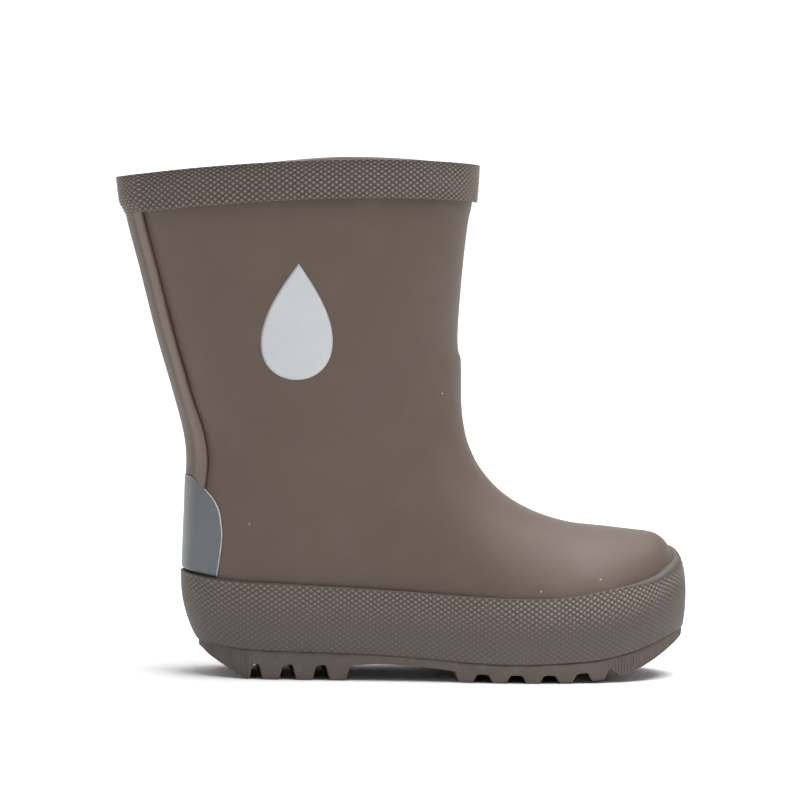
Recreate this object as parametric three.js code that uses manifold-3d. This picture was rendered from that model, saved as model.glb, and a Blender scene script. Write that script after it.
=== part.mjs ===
// A child's rubber wellington boot for the right foot, built round the sections of its last.
// Millimetres, +Z up, toe towards +X, outer side of the foot towards -Y, standing on z = 0.
import * as THREE from 'three';
import { mergeVertices } from 'three/addons/utils/BufferGeometryUtils.js';
import Module from 'manifold-3d';

const wasm = await Module();
wasm.setup();

// ---- Driving dimensions -------------------------------------------------------------------

const GAP = 0.3; // clearance between pieces that are bonded face to face
const WALL = 2.2; // rubber wall of the upper
const FOXING_THICK = 1.9;
const FOXING_BULGE = 0.45; // extra thickness half way up the foxing
const BAND_THICK = 1.1;
const BAND_OVER_STRIP = 1.4; // how much prouder the collar band stands over the back strip
const STRIP_THICK = 1.2;
const STRIP_HALF_WIDTH = 12;
const PATCH_THICK = 0.8;
const INSOLE_THICK = 3.5;
const SOLE_STEP = 0.25; // how far the outsole's edge lies inside the foxing
const SOLE_DRAFT = 1.0; // how much narrower each side of the outsole is at the floor

const TOE_X = 170; // front of the upper
const TOE_Z = 25; // height of the foremost point of the upper
const TOE_ROUND = { width: 30, top: 12, bottom: 12 }; // lengths over which the toe rounds off
const TOE_FULLNESS = 2.7; // how square the top of the toe is (2 is an ellipse)

const AROUND = 34; // points round one section
const TOE_ROWS = 7; // sections between the tip of the toe and the second station
const SECTION_STEPS = 80; // fine steps from which evenly spaced points are picked

// Stations of the last, from toe to collar. Each one is a closed section that runs from `under`,
// on the sole or heel, to `over`, on the vamp, instep or shin, both [x, z] in the side view.
// half is its half width, shift moves it sideways, widest is where along it the width peaks,
// sole and ridge say how square its two ends are (2 is an ellipse), lift raises its flanks.
const STATIONS = [
  { under: [170, 2], over: [170, 46.6], half: 24, shift: 4.5, widest: 0.42, sole: 3.6, ridge: 2, lift: 0 },
  { under: [146, -1.5], over: [146, 49.2], half: 29.3, shift: 2.6, widest: 0.4, sole: 4, ridge: 1.8,
    lift: 0 },
  { under: [131, -3.5], over: [132, 50.8], half: 31.2, shift: 1, widest: 0.38, sole: 4, ridge: 1.75,
    lift: 0 },
  { under: [117, -4], over: [120, 54.6], half: 31.5, shift: 0, widest: 0.38, sole: 4, ridge: 1.8, lift: 0 },
  { under: [102, -3.5], over: [110, 60.6], half: 30.5, shift: -0.3, widest: 0.38, sole: 4, ridge: 1.9,
    lift: 0 },
  { under: [84, -2], over: [102.8, 68.6], half: 28.6, shift: 0.3, widest: 0.4, sole: 4, ridge: 2, lift: 0 },
  { under: [62, -0.5], over: [98.9, 76.4], half: 27.3, shift: 0.7, widest: 0.42, sole: 4, ridge: 2.1,
    lift: 0 },
  { under: [40, 0.6], over: [97, 83.6], half: 26.7, shift: 0.4, widest: 0.44, sole: 3.8, ridge: 2.1,
    lift: 0 },
  { under: [22.5, 2.6], over: [96, 90], half: 26.6, shift: 0, widest: 0.46, sole: 3.4, ridge: 2.1, lift: 0 },
  { under: [12.9, 11], over: [95.6, 95.8], half: 26.8, shift: 0, widest: 0.48, sole: 2.8, ridge: 2.1,
    lift: 0 },
  { under: [8.5, 21.4], over: [95.3, 101], half: 27.2, shift: 0, widest: 0.5, sole: 2.5, ridge: 2.1,
    lift: 0 },
  { under: [6.7, 33], over: [95, 106], half: 27.7, shift: 0, widest: 0.5, sole: 2.35, ridge: 2.1, lift: 0 },
  { under: [6.1, 46], over: [94.7, 111], half: 28.3, shift: 0, widest: 0.5, sole: 2.25, ridge: 2.1, lift: 0 },
  { under: [6.6, 58.5], over: [94.8, 116.4], half: 29, shift: 0, widest: 0.51, sole: 2.2, ridge: 2.1,
    lift: 0 },
  { under: [7.4, 69], over: [95.1, 121.8], half: 29.6, shift: 0, widest: 0.52, sole: 2.15, ridge: 2.1,
    lift: 0 },
  { under: [6.4, 79], over: [95.5, 127.6], half: 30.2, shift: 0, widest: 0.53, sole: 2.1, ridge: 2.1,
    lift: 0 },
  { under: [2.6, 93], over: [96, 134.2], half: 30.8, shift: 0, widest: 0.54, sole: 2.1, ridge: 2.1, lift: 0 },
  { under: [-3, 111.5], over: [96.7, 142], half: 31.4, shift: 0, widest: 0.55, sole: 2.1, ridge: 2.1,
    lift: 0.4 },
  { under: [-8.7, 133], over: [97.6, 150], half: 31.9, shift: 0, widest: 0.55, sole: 2.1, ridge: 2.1,
    lift: 1.5 },
  { under: [-13.5, 150.8], over: [98.7, 156], half: 32.2, shift: 0, widest: 0.55, sole: 2.1, ridge: 2.1,
    lift: 2.8 },
  { under: [-14.9, 163], over: [99.4, 168.2], half: 32.4, shift: 0, widest: 0.55, sole: 2.1, ridge: 2.1,
    lift: 3 },
];
const BAND_FROM = STATIONS.length - 2; // the collar band runs from this station to the rim
const SHAFT_FROM = 12; // from this station up the shell has one row a station, and two below it

// Side view of the join between upper and outsole, and of the foxing's top edge, heel to toe.
const SOLE_TOP = [[3, 12.9], [10.4, 12.2], [16.5, 11], [25, 10.1], [45, 9.5], [66, 8.8], [82, 7.8],
  [98, 6.6], [113, 6.1], [129, 6.7], [139, 7.5], [147, 9], [155.7, 11.5], [162, 13.9], [168.5, 16.2],
  [175, 18.4]];
const FOXING_TOP = [[2, 35.2], [8.2, 33.4], [18, 32.3], [42, 31.3], [74, 29.5], [98, 27.9], [118, 27],
  [131, 27.5], [142, 29.4], [152, 31.7], [160, 34.3], [165, 37.2], [169, 39.6], [175, 43.5]];

// Floor side of the outsole: envelope of the lugs, and the sole between them, heel to toe.
const LUG_FLOOR = [[90, 0], [112, 0], [126, 0.1], [139, 0.8], [147, 2.2], [153, 4], [159, 6.8],
  [165, 10.4], [174, 16]];
const TREAD_BASE = [[24, 5], [60, 5], [66, 5.5], [75, 5.3], [88, 4.2], [93, 3.5], [99, 2.8], [128, 2.7],
  [137, 3.6], [146, 5]];
const HEEL_BACK_EDGE = [[4, 6.9], [12, 6.7], [23.5, 0]]; // bevel at the back of the heel
const HEEL_BLOCK_END = { floor: 26.2, base: 27.4 }; // front of the rear lug
const HEEL_LUGS = { first: 33.2, pitch: 10.85, count: 3, floorHalf: 2.6, baseHalf: 3.9 };
const FOREFOOT_LUGS = { first: 96.3, pitch: 10.85, count: 5, floorHalf: 2.1, baseHalf: 3.6 };
const TOE_BLOCK_START = { floor: 147.2, base: 144 }; // back of the toe lug

// Side view of the heel patch's free edge, from its top at the back seam to the foxing.
const PATCH_EDGE = [[-4, 65.2], [6.8, 65.2], [8.6, 62.9], [11, 59.9], [13.8, 56.6], [16, 51.6],
  [16.9, 45.6],
  [16.5, 39.6], [15.7, 33], [15.7, 26], [-4, 26]];
const PATCH_TOP = 65.2;

// ---- Curves and closed meshes -------------------------------------------------------------

const wide = 60; // half depth of the side-view cutters

/** Catmull-Rom blend of four values. */
function blendFour(a, b, c, d, t) {
  const slopeB = (c - a) / 2;
  const slopeC = (d - b) / 2;
  const square = t * t;
  const cube = square * t;
  return b * (2 * cube - 3 * square + 1) + slopeB * (cube - 2 * square + t)
    + c * (3 * square - 2 * cube) + slopeC * (cube - square);
}

/** Height at x of a smooth side-view curve given as a few [x, z] points. */
function heightAt(curve, x) {
  const last = curve.length - 1;
  let i = 0;
  while (i < last - 1 && x > curve[i + 1][0]) i += 1;
  const [x0, z0] = curve[i];
  const [x1, z1] = curve[i + 1];
  const [xa, za] = curve[Math.max(i - 1, 0)];
  const [xb, zb] = curve[Math.min(i + 2, last)];
  const span = x1 - x0;
  const t = THREE.MathUtils.clamp((x - x0) / span, 0, 1);
  const slope0 = (z1 - za) / (x1 - xa) * span;
  const slope1 = (zb - z0) / (xb - x0) * span;
  return z0 * (2 * t ** 3 - 3 * t ** 2 + 1) + slope0 * (t ** 3 - 2 * t ** 2 + t)
    + z1 * (3 * t ** 2 - 2 * t ** 3) + slope1 * (t ** 3 - t ** 2);
}

/** Points [x, height] of a side-view curve between two x values. */
function sampleCurve(curve, from, to, steps, raise = 0) {
  return Array.from({ length: steps + 1 }, (_, i) => {
    const x = from + (to - from) * i / steps;
    return [x, heightAt(curve, x) + raise];
  });
}

/** A manifold solid from a three.js geometry. */
function solidOf(geometry) {
  const bare = new THREE.BufferGeometry();
  bare.setAttribute('position', geometry.attributes.position);
  bare.setIndex(geometry.index);
  const merged = mergeVertices(bare, 1e-5);
  return new wasm.Manifold(new wasm.Mesh({
    numProp: 3,
    vertProperties: new Float32Array(merged.attributes.position.array),
    triVerts: new Uint32Array(merged.index.array),
  }));
}

/** A three.js geometry from a manifold solid. */
function geometryOf(solid) {
  const mesh = solid.getMesh();
  const geometry = new THREE.BufferGeometry();
  geometry.setAttribute('position', new THREE.BufferAttribute(new Float32Array(mesh.vertProperties), 3));
  geometry.setIndex(new THREE.BufferAttribute(new Uint32Array(mesh.triVerts), 1));
  geometry.computeVertexNormals();
  return geometry;
}

/** A side-view outline of [x, z] points drawn out across the boot. */
function acrossBoot(outline) {
  const shape = new THREE.Shape(outline.map(([x, z]) => new THREE.Vector2(x, z)));
  const geometry = new THREE.ExtrudeGeometry(shape, { depth: 2 * wide, bevelEnabled: false });
  geometry.rotateX(Math.PI / 2);
  geometry.translate(0, wide, 0);
  return solidOf(geometry);
}

/** A closed solid through rings of equal length, each end closed by a fan to its middle. */
function solidThroughRings(rings, startPoint, endPoint) {
  const points = rings.flat();
  const count = rings[0].length;
  const start = points.push(startPoint) - 1;
  const end = points.push(endPoint) - 1;
  const faces = [];
  for (let j = 0; j < count; j += 1) {
    const k = (j + 1) % count;
    faces.push(start, k, j);
    for (let i = 0; i + 1 < rings.length; i += 1) {
      const a = i * count + j;
      const b = i * count + k;
      faces.push(a, b, b + count, a, b + count, a + count);
    }
    const top = (rings.length - 1) * count;
    faces.push(end, top + j, top + k);
  }
  const geometry = new THREE.BufferGeometry();
  const numbers = points.flatMap((p) => [p.x, p.y, p.z]);
  geometry.setAttribute('position', new THREE.Float32BufferAttribute(numbers, 3));
  geometry.setIndex(faces);
  return solidOf(geometry);
}

const middleOf = (ring) => ring.reduce((sum, p) => sum.add(p), new THREE.Vector3()).divideScalar(ring.length);

// ---- The last: sections, and forms at a distance from the upper's outside -----------------

/** The station at a fractional place along STATIONS. */
function stationAt(place) {
  const last = STATIONS.length - 1;
  const i = Math.min(Math.floor(place), last - 1);
  const four = [Math.max(i - 1, 0), i, i + 1, Math.min(i + 2, last)].map((n) => STATIONS[n]);
  const mix = (pick) => blendFour(...four.map(pick), place - i);
  return {
    under: new THREE.Vector2(mix((s) => s.under[0]), mix((s) => s.under[1])),
    over: new THREE.Vector2(mix((s) => s.over[0]), mix((s) => s.over[1])),
    half: mix((s) => s.half),
    shift: mix((s) => s.shift),
    widest: mix((s) => s.widest),
    sole: mix((s) => s.sole),
    ridge: mix((s) => s.ridge),
    lift: mix((s) => s.lift),
  };
}

/** Rounds a station off as it comes near the tip of the toe. */
function roundToe(station) {
  const distance = TOE_X - station.over.x;
  const grow = (length, power) => (
    distance >= length ? 1 : (1 - (1 - distance / length) ** power) ** (1 / power));
  station.half *= grow(TOE_ROUND.width, 2.2);
  station.over.y = TOE_Z + (station.over.y - TOE_Z) * grow(TOE_ROUND.top, TOE_FULLNESS);
  station.under.y = TOE_Z + (station.under.y - TOE_Z) * grow(TOE_ROUND.bottom, 2);
  return station;
}

/** Picks evenly spaced points along a fine polyline, its first point included and last left out. */
function evenly(line, count) {
  const lengths = [0];
  for (let i = 1; i < line.length; i += 1) lengths.push(lengths[i - 1] + line[i].distanceTo(line[i - 1]));
  const total = lengths[lengths.length - 1];
  const picked = [];
  let i = 0;
  for (let n = 0; n < count; n += 1) {
    const wanted = total * n / count;
    while (lengths[i + 1] < wanted) i += 1;
    picked.push(line[i].clone().lerp(line[i + 1], (wanted - lengths[i]) / (lengths[i + 1] - lengths[i])));
  }
  return picked;
}

/** The ring of points of the section at a place, from under the foot up the outer side and back. */
function ringAt(place) {
  const s = roundToe(stationAt(place));
  const side = (sign) => Array.from({ length: SECTION_STEPS + 1 }, (_, n) => {
    const angle = Math.PI * n / SECTION_STEPS;
    const low = angle < Math.PI / 2;
    const power = 2 / (low ? s.sole : s.ridge);
    const reach = Math.abs(Math.cos(angle)) ** power;
    const along = low ? s.widest * (1 - reach) : s.widest + (1 - s.widest) * reach;
    const across = Math.abs(Math.sin(angle)) ** power;
    const point = s.under.clone().lerp(s.over, along);
    return new THREE.Vector3(point.x, s.shift + sign * s.half * across, point.y + s.lift * across ** 2);
  });
  return [...evenly(side(-1), AROUND / 2), ...evenly(side(1).reverse(), AROUND / 2)];
}

/** Places of all rows of the shell: close together at the tip of the toe, then even. */
function shellPlaces() {
  const places = Array.from({ length: TOE_ROWS }, (_, i) => ((i + 1) / TOE_ROWS) ** 2);
  for (let place = 1.5; place <= SHAFT_FROM; place += 0.5) places.push(place);
  for (let place = SHAFT_FROM + 1; place < STATIONS.length; place += 1) places.push(place);
  return places;
}

/** Outward normals at every point of a grid of rings. */
function normalsOf(rings) {
  const count = rings[0].length;
  return rings.map((ring, i) => ring.map((_, j) => {
    const along = rings[Math.min(i + 1, rings.length - 1)][j].clone().sub(rings[Math.max(i - 1, 0)][j]);
    const around = ring[(j + 1) % count].clone().sub(ring[(j + count - 1) % count]);
    return around.cross(along).normalize();
  }));
}

const rows = shellPlaces().map(ringAt);
const normals = normalsOf(rows);
const tip = new THREE.Vector3(TOE_X, STATIONS[0].shift, TOE_Z);

/** Rings at a distance outside the upper, which may depend on the point. */
function ringsAtDistance(distance) {
  return rows.map((ring, i) => ring.map((point, j) => (
    point.clone().addScaledVector(normals[i][j], distance(point)))));
}

/** The whole form at a distance outside the upper, its top raised where it cuts the collar open. */
function formAt(distance, raise = 0) {
  const rings = ringsAtDistance(distance);
  const front = tip.clone();
  front.x += distance(tip);
  const rim = rings[rings.length - 1];
  if (raise) rings.push(rim.map((p) => p.clone().setZ(p.z + raise)));
  return solidThroughRings(rings, front, middleOf(rings[rings.length - 1]));
}

const soleTop = (x) => heightAt(SOLE_TOP, x);
const foxingTop = (x) => heightAt(FOXING_TOP, x);

/** Distance of the foxing's outer face from the upper: a wall that swells half way up. */
function foxingDistance(point) {
  const low = soleTop(point.x);
  const part = THREE.MathUtils.clamp((point.z - low) / (foxingTop(point.x) - low), 0, 1);
  return GAP + FOXING_THICK + FOXING_BULGE * Math.sin(Math.PI * part);
}

// ---- Pieces -------------------------------------------------------------------------------

/** Everything above the outsole's top face, up to a height over it or a given curve. */
function aboveSole(raise, ceiling) {
  const floor = sampleCurve(SOLE_TOP, -20, 190, 60, raise);
  return acrossBoot([...floor, ...ceiling.reverse()]);
}

/** The hollow upper: shaft and foot in one wall, open at the collar and above the outsole. */
function makeUpper() {
  const outside = formAt(() => 0);
  const inside = formAt(() => -WALL, 10);
  const above = aboveSole(GAP, [[-40, 260], [200, 260]]);
  return outside.subtract(inside).intersect(above);
}

/** The knurled foxing wall, from the outsole's top face to its own top edge. */
function makeFoxing() {
  const outer = formAt(foxingDistance);
  const inner = formAt(() => GAP);
  const zone = aboveSole(GAP, sampleCurve(FOXING_TOP, -20, 190, 60));
  return outer.subtract(inner).intersect(zone);
}

/** The foam insole, lying on the outsole inside the upper. */
function makeInsole() {
  const room = formAt(() => -WALL - GAP);
  return room.intersect(aboveSole(GAP, sampleCurve(SOLE_TOP, -20, 190, 60, GAP + INSOLE_THICK)));
}

/** Plan outline of the outsole, where the foxing's foot meets it, turning left from the toe. */
function soleOutline() {
  const rings = ringsAtDistance(() => GAP + FOXING_THICK - SOLE_STEP);
  const over = (p) => p.z - soleTop(p.x);
  const cross = (a, b) => {
    const point = a.clone().lerp(b, over(a) / (over(a) - over(b)));
    return new THREE.Vector2(point.x, point.y);
  };
  const crossing = (line) => {
    for (let i = 0; i + 1 < line.length; i += 1) {
      if (over(line[i]) < 0 && over(line[i + 1]) >= 0) return cross(line[i], line[i + 1]);
    }
    return null;
  };
  const half = AROUND / 2;
  const outerSide = rings.map((ring) => crossing(ring.slice(0, half + 1)));
  const innerSide = rings.map((ring) => crossing([ring[0], ...ring.slice(half).reverse()]));
  const keel = rings.map((ring) => ring[0]);
  const toe = crossing(keel.slice(0, rings.length / 2).reverse());
  const heel = crossing(keel.slice(TOE_ROWS));
  return [toe, ...innerSide.filter(Boolean), heel, ...outerSide.filter(Boolean).reverse()];
}

/** Moves a closed plan outline inwards by a distance. */
function insetOutline(outline, distance) {
  const count = outline.length;
  return outline.map((point, i) => {
    const along = outline[(i + 1) % count].clone().sub(outline[(i + count - 1) % count]).normalize();
    return new THREE.Vector2(point.x - along.y * distance, point.y + along.x * distance);
  });
}

/** Side-view points of a row of lugs, from toe to heel. */
function lugPoints({ first, pitch, count, floorHalf, baseHalf }) {
  const points = [];
  for (let i = count - 1; i >= 0; i -= 1) {
    const x = first + pitch * i;
    for (const [offset, curve] of [[baseHalf, TREAD_BASE], [floorHalf, LUG_FLOOR],
      [-floorHalf, LUG_FLOOR], [-baseHalf, TREAD_BASE]]) {
      points.push([x + offset, Math.max(0, heightAt(curve, x + offset))]);
    }
  }
  return points;
}

/** The outsole: its side view with arch and lugs, trimmed to the plan outline. */
function makeOutsole() {
  const underside = [
    ...sampleCurve(LUG_FLOOR, 175, TOE_BLOCK_START.floor, 7),
    [TOE_BLOCK_START.base, heightAt(TREAD_BASE, TOE_BLOCK_START.base)],
    ...lugPoints(FOREFOOT_LUGS),
    ...sampleCurve(TREAD_BASE, 88, 62, 5),
    ...lugPoints(HEEL_LUGS),
    [HEEL_BLOCK_END.base, heightAt(TREAD_BASE, HEEL_BLOCK_END.base)],
    [HEEL_BLOCK_END.floor, 0],
    ...HEEL_BACK_EDGE.slice().reverse(),
  ];
  const side = acrossBoot([...sampleCurve(SOLE_TOP, 4, 175, 40), ...underside]);
  const outline = soleOutline();
  const ring = (points, z) => points.map((p) => new THREE.Vector3(p.x, p.y, z));
  const rings = [ring(insetOutline(outline, SOLE_DRAFT), -1), ring(outline, 14), ring(outline, 22)];
  const plan = solidThroughRings(rings, middleOf(rings[0]), middleOf(rings[2]));
  return side.intersect(plan);
}

/** The collar band: the top of the form made thicker, and prouder where it covers the strip. */
function makeTopBand() {
  const count = 5;
  const places = Array.from({ length: count }, (_, i) => BAND_FROM + i / (count - 1));
  const bandRows = places.map(ringAt);
  const bandNormals = normalsOf(bandRows);
  const middleX = 40;
  const thick = (p) => {
    const edge = THREE.MathUtils.smoothstep(Math.abs(p.y), STRIP_HALF_WIDTH, STRIP_HALF_WIDTH + 3);
    return BAND_THICK + (p.x < middleX ? BAND_OVER_STRIP * (1 - edge) : 0);
  };
  const shifted = (distance, order) => order.map((i) => bandRows[i].map((p, j) => (
    p.clone().addScaledVector(bandNormals[i][j], distance(p)))));
  const up = places.map((_, i) => i);
  const outer = shifted((p) => GAP + thick(p), up);
  const inner = shifted(() => GAP, up.slice().reverse());
  return closedLoop([...outer, ...inner]);
}

/** A closed ring-shaped solid: rings that run up the outside and down the inside. */
function closedLoop(rings) {
  const count = rings[0].length;
  const faces = [];
  for (let i = 0; i < rings.length; i += 1) {
    const next = (i + 1) % rings.length;
    for (let j = 0; j < count; j += 1) {
      const k = (j + 1) % count;
      faces.push(i * count + j, i * count + k, next * count + k);
      faces.push(i * count + j, next * count + k, next * count + j);
    }
  }
  const geometry = new THREE.BufferGeometry();
  const numbers = rings.flat().flatMap((p) => [p.x, p.y, p.z]);
  geometry.setAttribute('position', new THREE.Float32BufferAttribute(numbers, 3));
  geometry.setIndex(faces);
  return solidOf(geometry);
}

/** A layer over the upper between the gap and a thickness. */
function layerOverUpper(thick) {
  return formAt(() => GAP + thick).subtract(formAt(() => GAP));
}

/** The strip down the back, from the collar band to the heel patch. */
function makeBackStrip() {
  const rear = new THREE.BoxGeometry(60, 2 * STRIP_HALF_WIDTH, 260);
  rear.translate(-5, 0, 130);
  const band = stationAt(BAND_FROM).under;
  const zone = acrossBoot([[-30, PATCH_TOP + GAP], [30, PATCH_TOP + GAP], [30, band.y + 2], [-30, band.y - 1.6]]);
  return layerOverUpper(STRIP_THICK).intersect(solidOf(rear)).intersect(zone);
}

/** The thin reflective patch round the back of the heel, its foot on the foxing's top edge. */
function makeHeelPatch() {
  const edge = acrossBoot(PATCH_EDGE);
  const above = acrossBoot([...sampleCurve(FOXING_TOP, -10, 40, 8, GAP), [40, 90], [-10, 90]]);
  return layerOverUpper(PATCH_THICK).intersect(edge).intersect(above);
}

// ---- Materials and assembly ---------------------------------------------------------------

const rubber = (color, roughness) => () => new THREE.MeshStandardMaterial({ color, roughness, metalness: 0 });
const shaftRubber = rubber(0x655b53, 0.55);
const knurledRubber = rubber(0x6b6159, 0.6);
const soleRubber = rubber(0x57504b, 0.65);
const reflective = rubber(0x70787a, 0.4);
const foamCloth = rubber(0x9c9187, 0.95);

const PIECES = [
  ['outsole', makeOutsole, soleRubber],
  ['insole', makeInsole, foamCloth],
  ['upper', makeUpper, shaftRubber],
  ['foxing_band', makeFoxing, knurledRubber],
  ['top_band', makeTopBand, knurledRubber],
  ['back_strip', makeBackStrip, shaftRubber],
  ['heel_patch', makeHeelPatch, reflective],
];

const boot = new THREE.Group();
for (const [name, make, material] of PIECES) {
  const mesh = new THREE.Mesh(geometryOf(make()), material());
  mesh.name = name;
  boot.add(mesh);
}

// The origin is the middle of the box that the boot fills, on the floor.
const box = new THREE.Box3().setFromObject(boot);
const middle = box.getCenter(new THREE.Vector3());
boot.position.set(-middle.x, -middle.y, -box.min.z);

export default boot;
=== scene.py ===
"""A child's rubber wellington boot for the right foot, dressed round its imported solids.

Sizes are millimetres in the last's own axes: toe towards +X, inner side of the foot towards +Y,
floor at z = 0. `to_frame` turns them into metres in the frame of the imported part.
"""

import logging
import math
from dataclasses import dataclass
from enum import Enum

import bmesh
import bpy
import numpy as np
from mathutils import Matrix, Vector
from mathutils.bvhtree import BVHTree


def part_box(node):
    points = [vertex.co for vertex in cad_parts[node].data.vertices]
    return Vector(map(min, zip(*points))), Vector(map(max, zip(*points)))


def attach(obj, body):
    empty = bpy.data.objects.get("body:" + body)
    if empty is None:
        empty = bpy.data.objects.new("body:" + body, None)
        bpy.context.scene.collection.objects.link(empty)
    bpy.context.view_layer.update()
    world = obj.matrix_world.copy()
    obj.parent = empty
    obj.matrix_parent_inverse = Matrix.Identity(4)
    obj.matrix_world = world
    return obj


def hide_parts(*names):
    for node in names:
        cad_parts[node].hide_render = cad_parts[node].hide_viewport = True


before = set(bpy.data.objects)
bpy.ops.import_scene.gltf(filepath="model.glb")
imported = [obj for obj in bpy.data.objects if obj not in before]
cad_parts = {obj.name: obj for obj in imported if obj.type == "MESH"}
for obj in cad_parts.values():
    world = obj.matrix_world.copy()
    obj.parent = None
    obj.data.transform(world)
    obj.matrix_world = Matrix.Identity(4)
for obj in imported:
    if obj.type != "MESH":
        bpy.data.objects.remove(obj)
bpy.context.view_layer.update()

LOG = logging.getLogger("boot")
MM = 0.001
GAP = 0.3
TOE_X = 170.0
TOE_Z = 25.0
STRIP_HALF = 12.0

# Side-view curves in [x, z], heel to toe.
SOLE_TOP = ((3, 12.9), (10.4, 12.2), (16.5, 11), (25, 10.1), (45, 9.5), (66, 8.8), (82, 7.8), (98, 6.6),
            (113, 6.1), (129, 6.7), (139, 7.5), (147, 9), (155.7, 11.5), (162, 13.9), (168.5, 16.2),
            (175, 18.4))
FOXING_TOP = ((2, 36.2), (8.2, 33.7), (18, 32.3), (42, 31.3), (74, 29.5), (98, 27.9), (118, 27),
              (131, 27.5), (142, 29.4), (152, 31.7), (160, 34.3), (165, 37.2), (169, 39.6), (175, 43.5))
LUG_FLOOR = ((90, 0), (112, 0), (126, 0.1), (139, 0.8), (147, 2.2), (153, 4), (159, 6.8), (165, 10.4),
             (174, 16))
TREAD_BASE = ((24, 5), (60, 5), (66, 5.5), (75, 5.3), (88, 4.2), (93, 3.5), (99, 2.8), (128, 2.7),
              (137, 3.6), (146, 5))
# The heel patch's side edge: height, then how far forward the patch reaches.
PATCH_EDGE = ((33, 15.6), (39.6, 16.5), (46.5, 17.1), (50, 16.8), (53.6, 16.3), (56.8, 15.1), (59.4, 13.4),
              (62.1, 10.9), (65.3, 8.2))

# The last's sections from toe to collar: under x, under z, over x, over z, half width, sideways
# shift, place of the widest point, squareness of the sole end and of the ridge, lift of the flanks.
STATIONS = (
    (170, 2, 170, 46.6, 24, 4.5, 0.42, 3.6, 2, 0),
    (146, -1.5, 146, 49.2, 29.3, 2.6, 0.4, 4, 1.8, 0),
    (131, -3.5, 132, 50.8, 31.2, 1, 0.38, 4, 1.75, 0),
    (117, -4, 120, 54.6, 31.5, 0, 0.38, 4, 1.8, 0),
    (102, -3.5, 110, 60.6, 30.5, -0.3, 0.38, 4, 1.9, 0),
    (84, -2, 102.8, 68.6, 28.6, 0.3, 0.4, 4, 2, 0),
    (62, -0.5, 98.9, 76.4, 27.3, 0.7, 0.42, 4, 2.1, 0),
    (40, 0.6, 97, 83.6, 26.7, 0.4, 0.44, 3.8, 2.1, 0),
    (22.5, 2.6, 96, 90, 26.6, 0, 0.46, 3.4, 2.1, 0),
    (12.9, 11, 95.6, 95.8, 26.8, 0, 0.48, 2.8, 2.1, 0),
    (8.5, 21.4, 95.3, 101, 27.2, 0, 0.5, 2.5, 2.1, 0),
    (6.7, 33, 95, 106, 27.7, 0, 0.5, 2.35, 2.1, 0),
    (6.1, 46, 94.7, 111, 28.3, 0, 0.5, 2.25, 2.1, 0),
    (6.6, 58.5, 94.8, 116.4, 29, 0, 0.51, 2.2, 2.1, 0),
    (7.4, 69, 95.1, 121.8, 29.6, 0, 0.52, 2.15, 2.1, 0),
    (6.4, 79, 95.5, 127.6, 30.2, 0, 0.53, 2.1, 2.1, 0),
    (2.6, 93, 96, 134.2, 30.8, 0, 0.54, 2.1, 2.1, 0),
    (-3, 111.5, 96.7, 142, 31.4, 0, 0.55, 2.1, 2.1, 0.4),
    (-8.7, 133, 97.6, 150, 31.9, 0, 0.55, 2.1, 2.1, 1.5),
    (-13.5, 150.8, 98.7, 156, 32.2, 0, 0.55, 2.1, 2.1, 2.8),
    (-14.9, 163, 99.4, 168.2, 32.4, 0, 0.55, 2.1, 2.1, 3),
)
RIM = len(STATIONS) - 1
BAND_FROM = RIM - 1


class Axis(Enum):
    """Axes of an array of surface points."""

    ROWS = 0
    COLUMNS = 1


# ---- Curves and surfaces ------------------------------------------------------------------


def heights(curve: tuple, x: np.ndarray | float) -> np.ndarray:
    """Height of a smooth curve through a few points.

    Args:
        curve: the points, as (x, z) with x rising.
        x: where the height is wanted.

    Returns:
        The heights, flat beyond both ends.
    """
    table = np.array(curve, float)
    last = len(table) - 1
    at = np.clip(np.asarray(x, float), table[0, 0], table[-1, 0])
    i = np.clip(np.searchsorted(table[:, 0], at, side="right") - 1, 0, last - 1)
    a, b = table[np.maximum(i - 1, 0)], table[np.minimum(i + 2, last)]
    p, q = table[i], table[i + 1]
    span = q[..., 0] - p[..., 0]
    t = (at - p[..., 0]) / span
    slope_p = (q[..., 1] - a[..., 1]) / (q[..., 0] - a[..., 0]) * span
    slope_q = (b[..., 1] - p[..., 1]) / (b[..., 0] - p[..., 0]) * span
    return (p[..., 1] * (2 * t**3 - 3 * t**2 + 1) + slope_p * (t**3 - 2 * t**2 + t)
            + q[..., 1] * (3 * t**2 - 2 * t**3) + slope_q * (t**3 - t**2))


def catmull(table: np.ndarray, places: np.ndarray, wrap: bool = False) -> np.ndarray:
    """Smooth in-between rows of a table.

    Args:
        table: values, the first axis being the one to blend along.
        places: fractional row numbers.
        wrap: whether the last row is followed by the first.

    Returns:
        One blended row for each place.
    """
    count = len(table)
    i = np.floor(places).astype(int)
    if not wrap:
        i = np.clip(i, 0, count - 2)
    t = (places - i).reshape((-1,) + (1,) * (table.ndim - 1))
    pick = (lambda n: table[n % count]) if wrap else (lambda n: table[np.clip(n, 0, count - 1)])
    a, b, c, d = pick(i - 1), pick(i), pick(i + 1), pick(i + 2)
    return (b * (2 * t**3 - 3 * t**2 + 1) + (c - a) / 2 * (t**3 - 2 * t**2 + t)
            + c * (3 * t**2 - 2 * t**3) + (d - b) / 2 * (t**3 - t**2))


def smooth_step(value: np.ndarray, low: float, high: float) -> np.ndarray:
    """0 below low, 1 above high, and an even S between them."""
    t = np.clip((value - low) / (high - low), 0, 1)
    return t * t * (3 - 2 * t)


def strip_spread(height: np.ndarray | float) -> np.ndarray:
    """How much wider than at the collar the back strip is at a height, as a factor."""
    return 1.24 - 0.24 * smooth_step(np.asarray(height, float), 61, 92)


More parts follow.
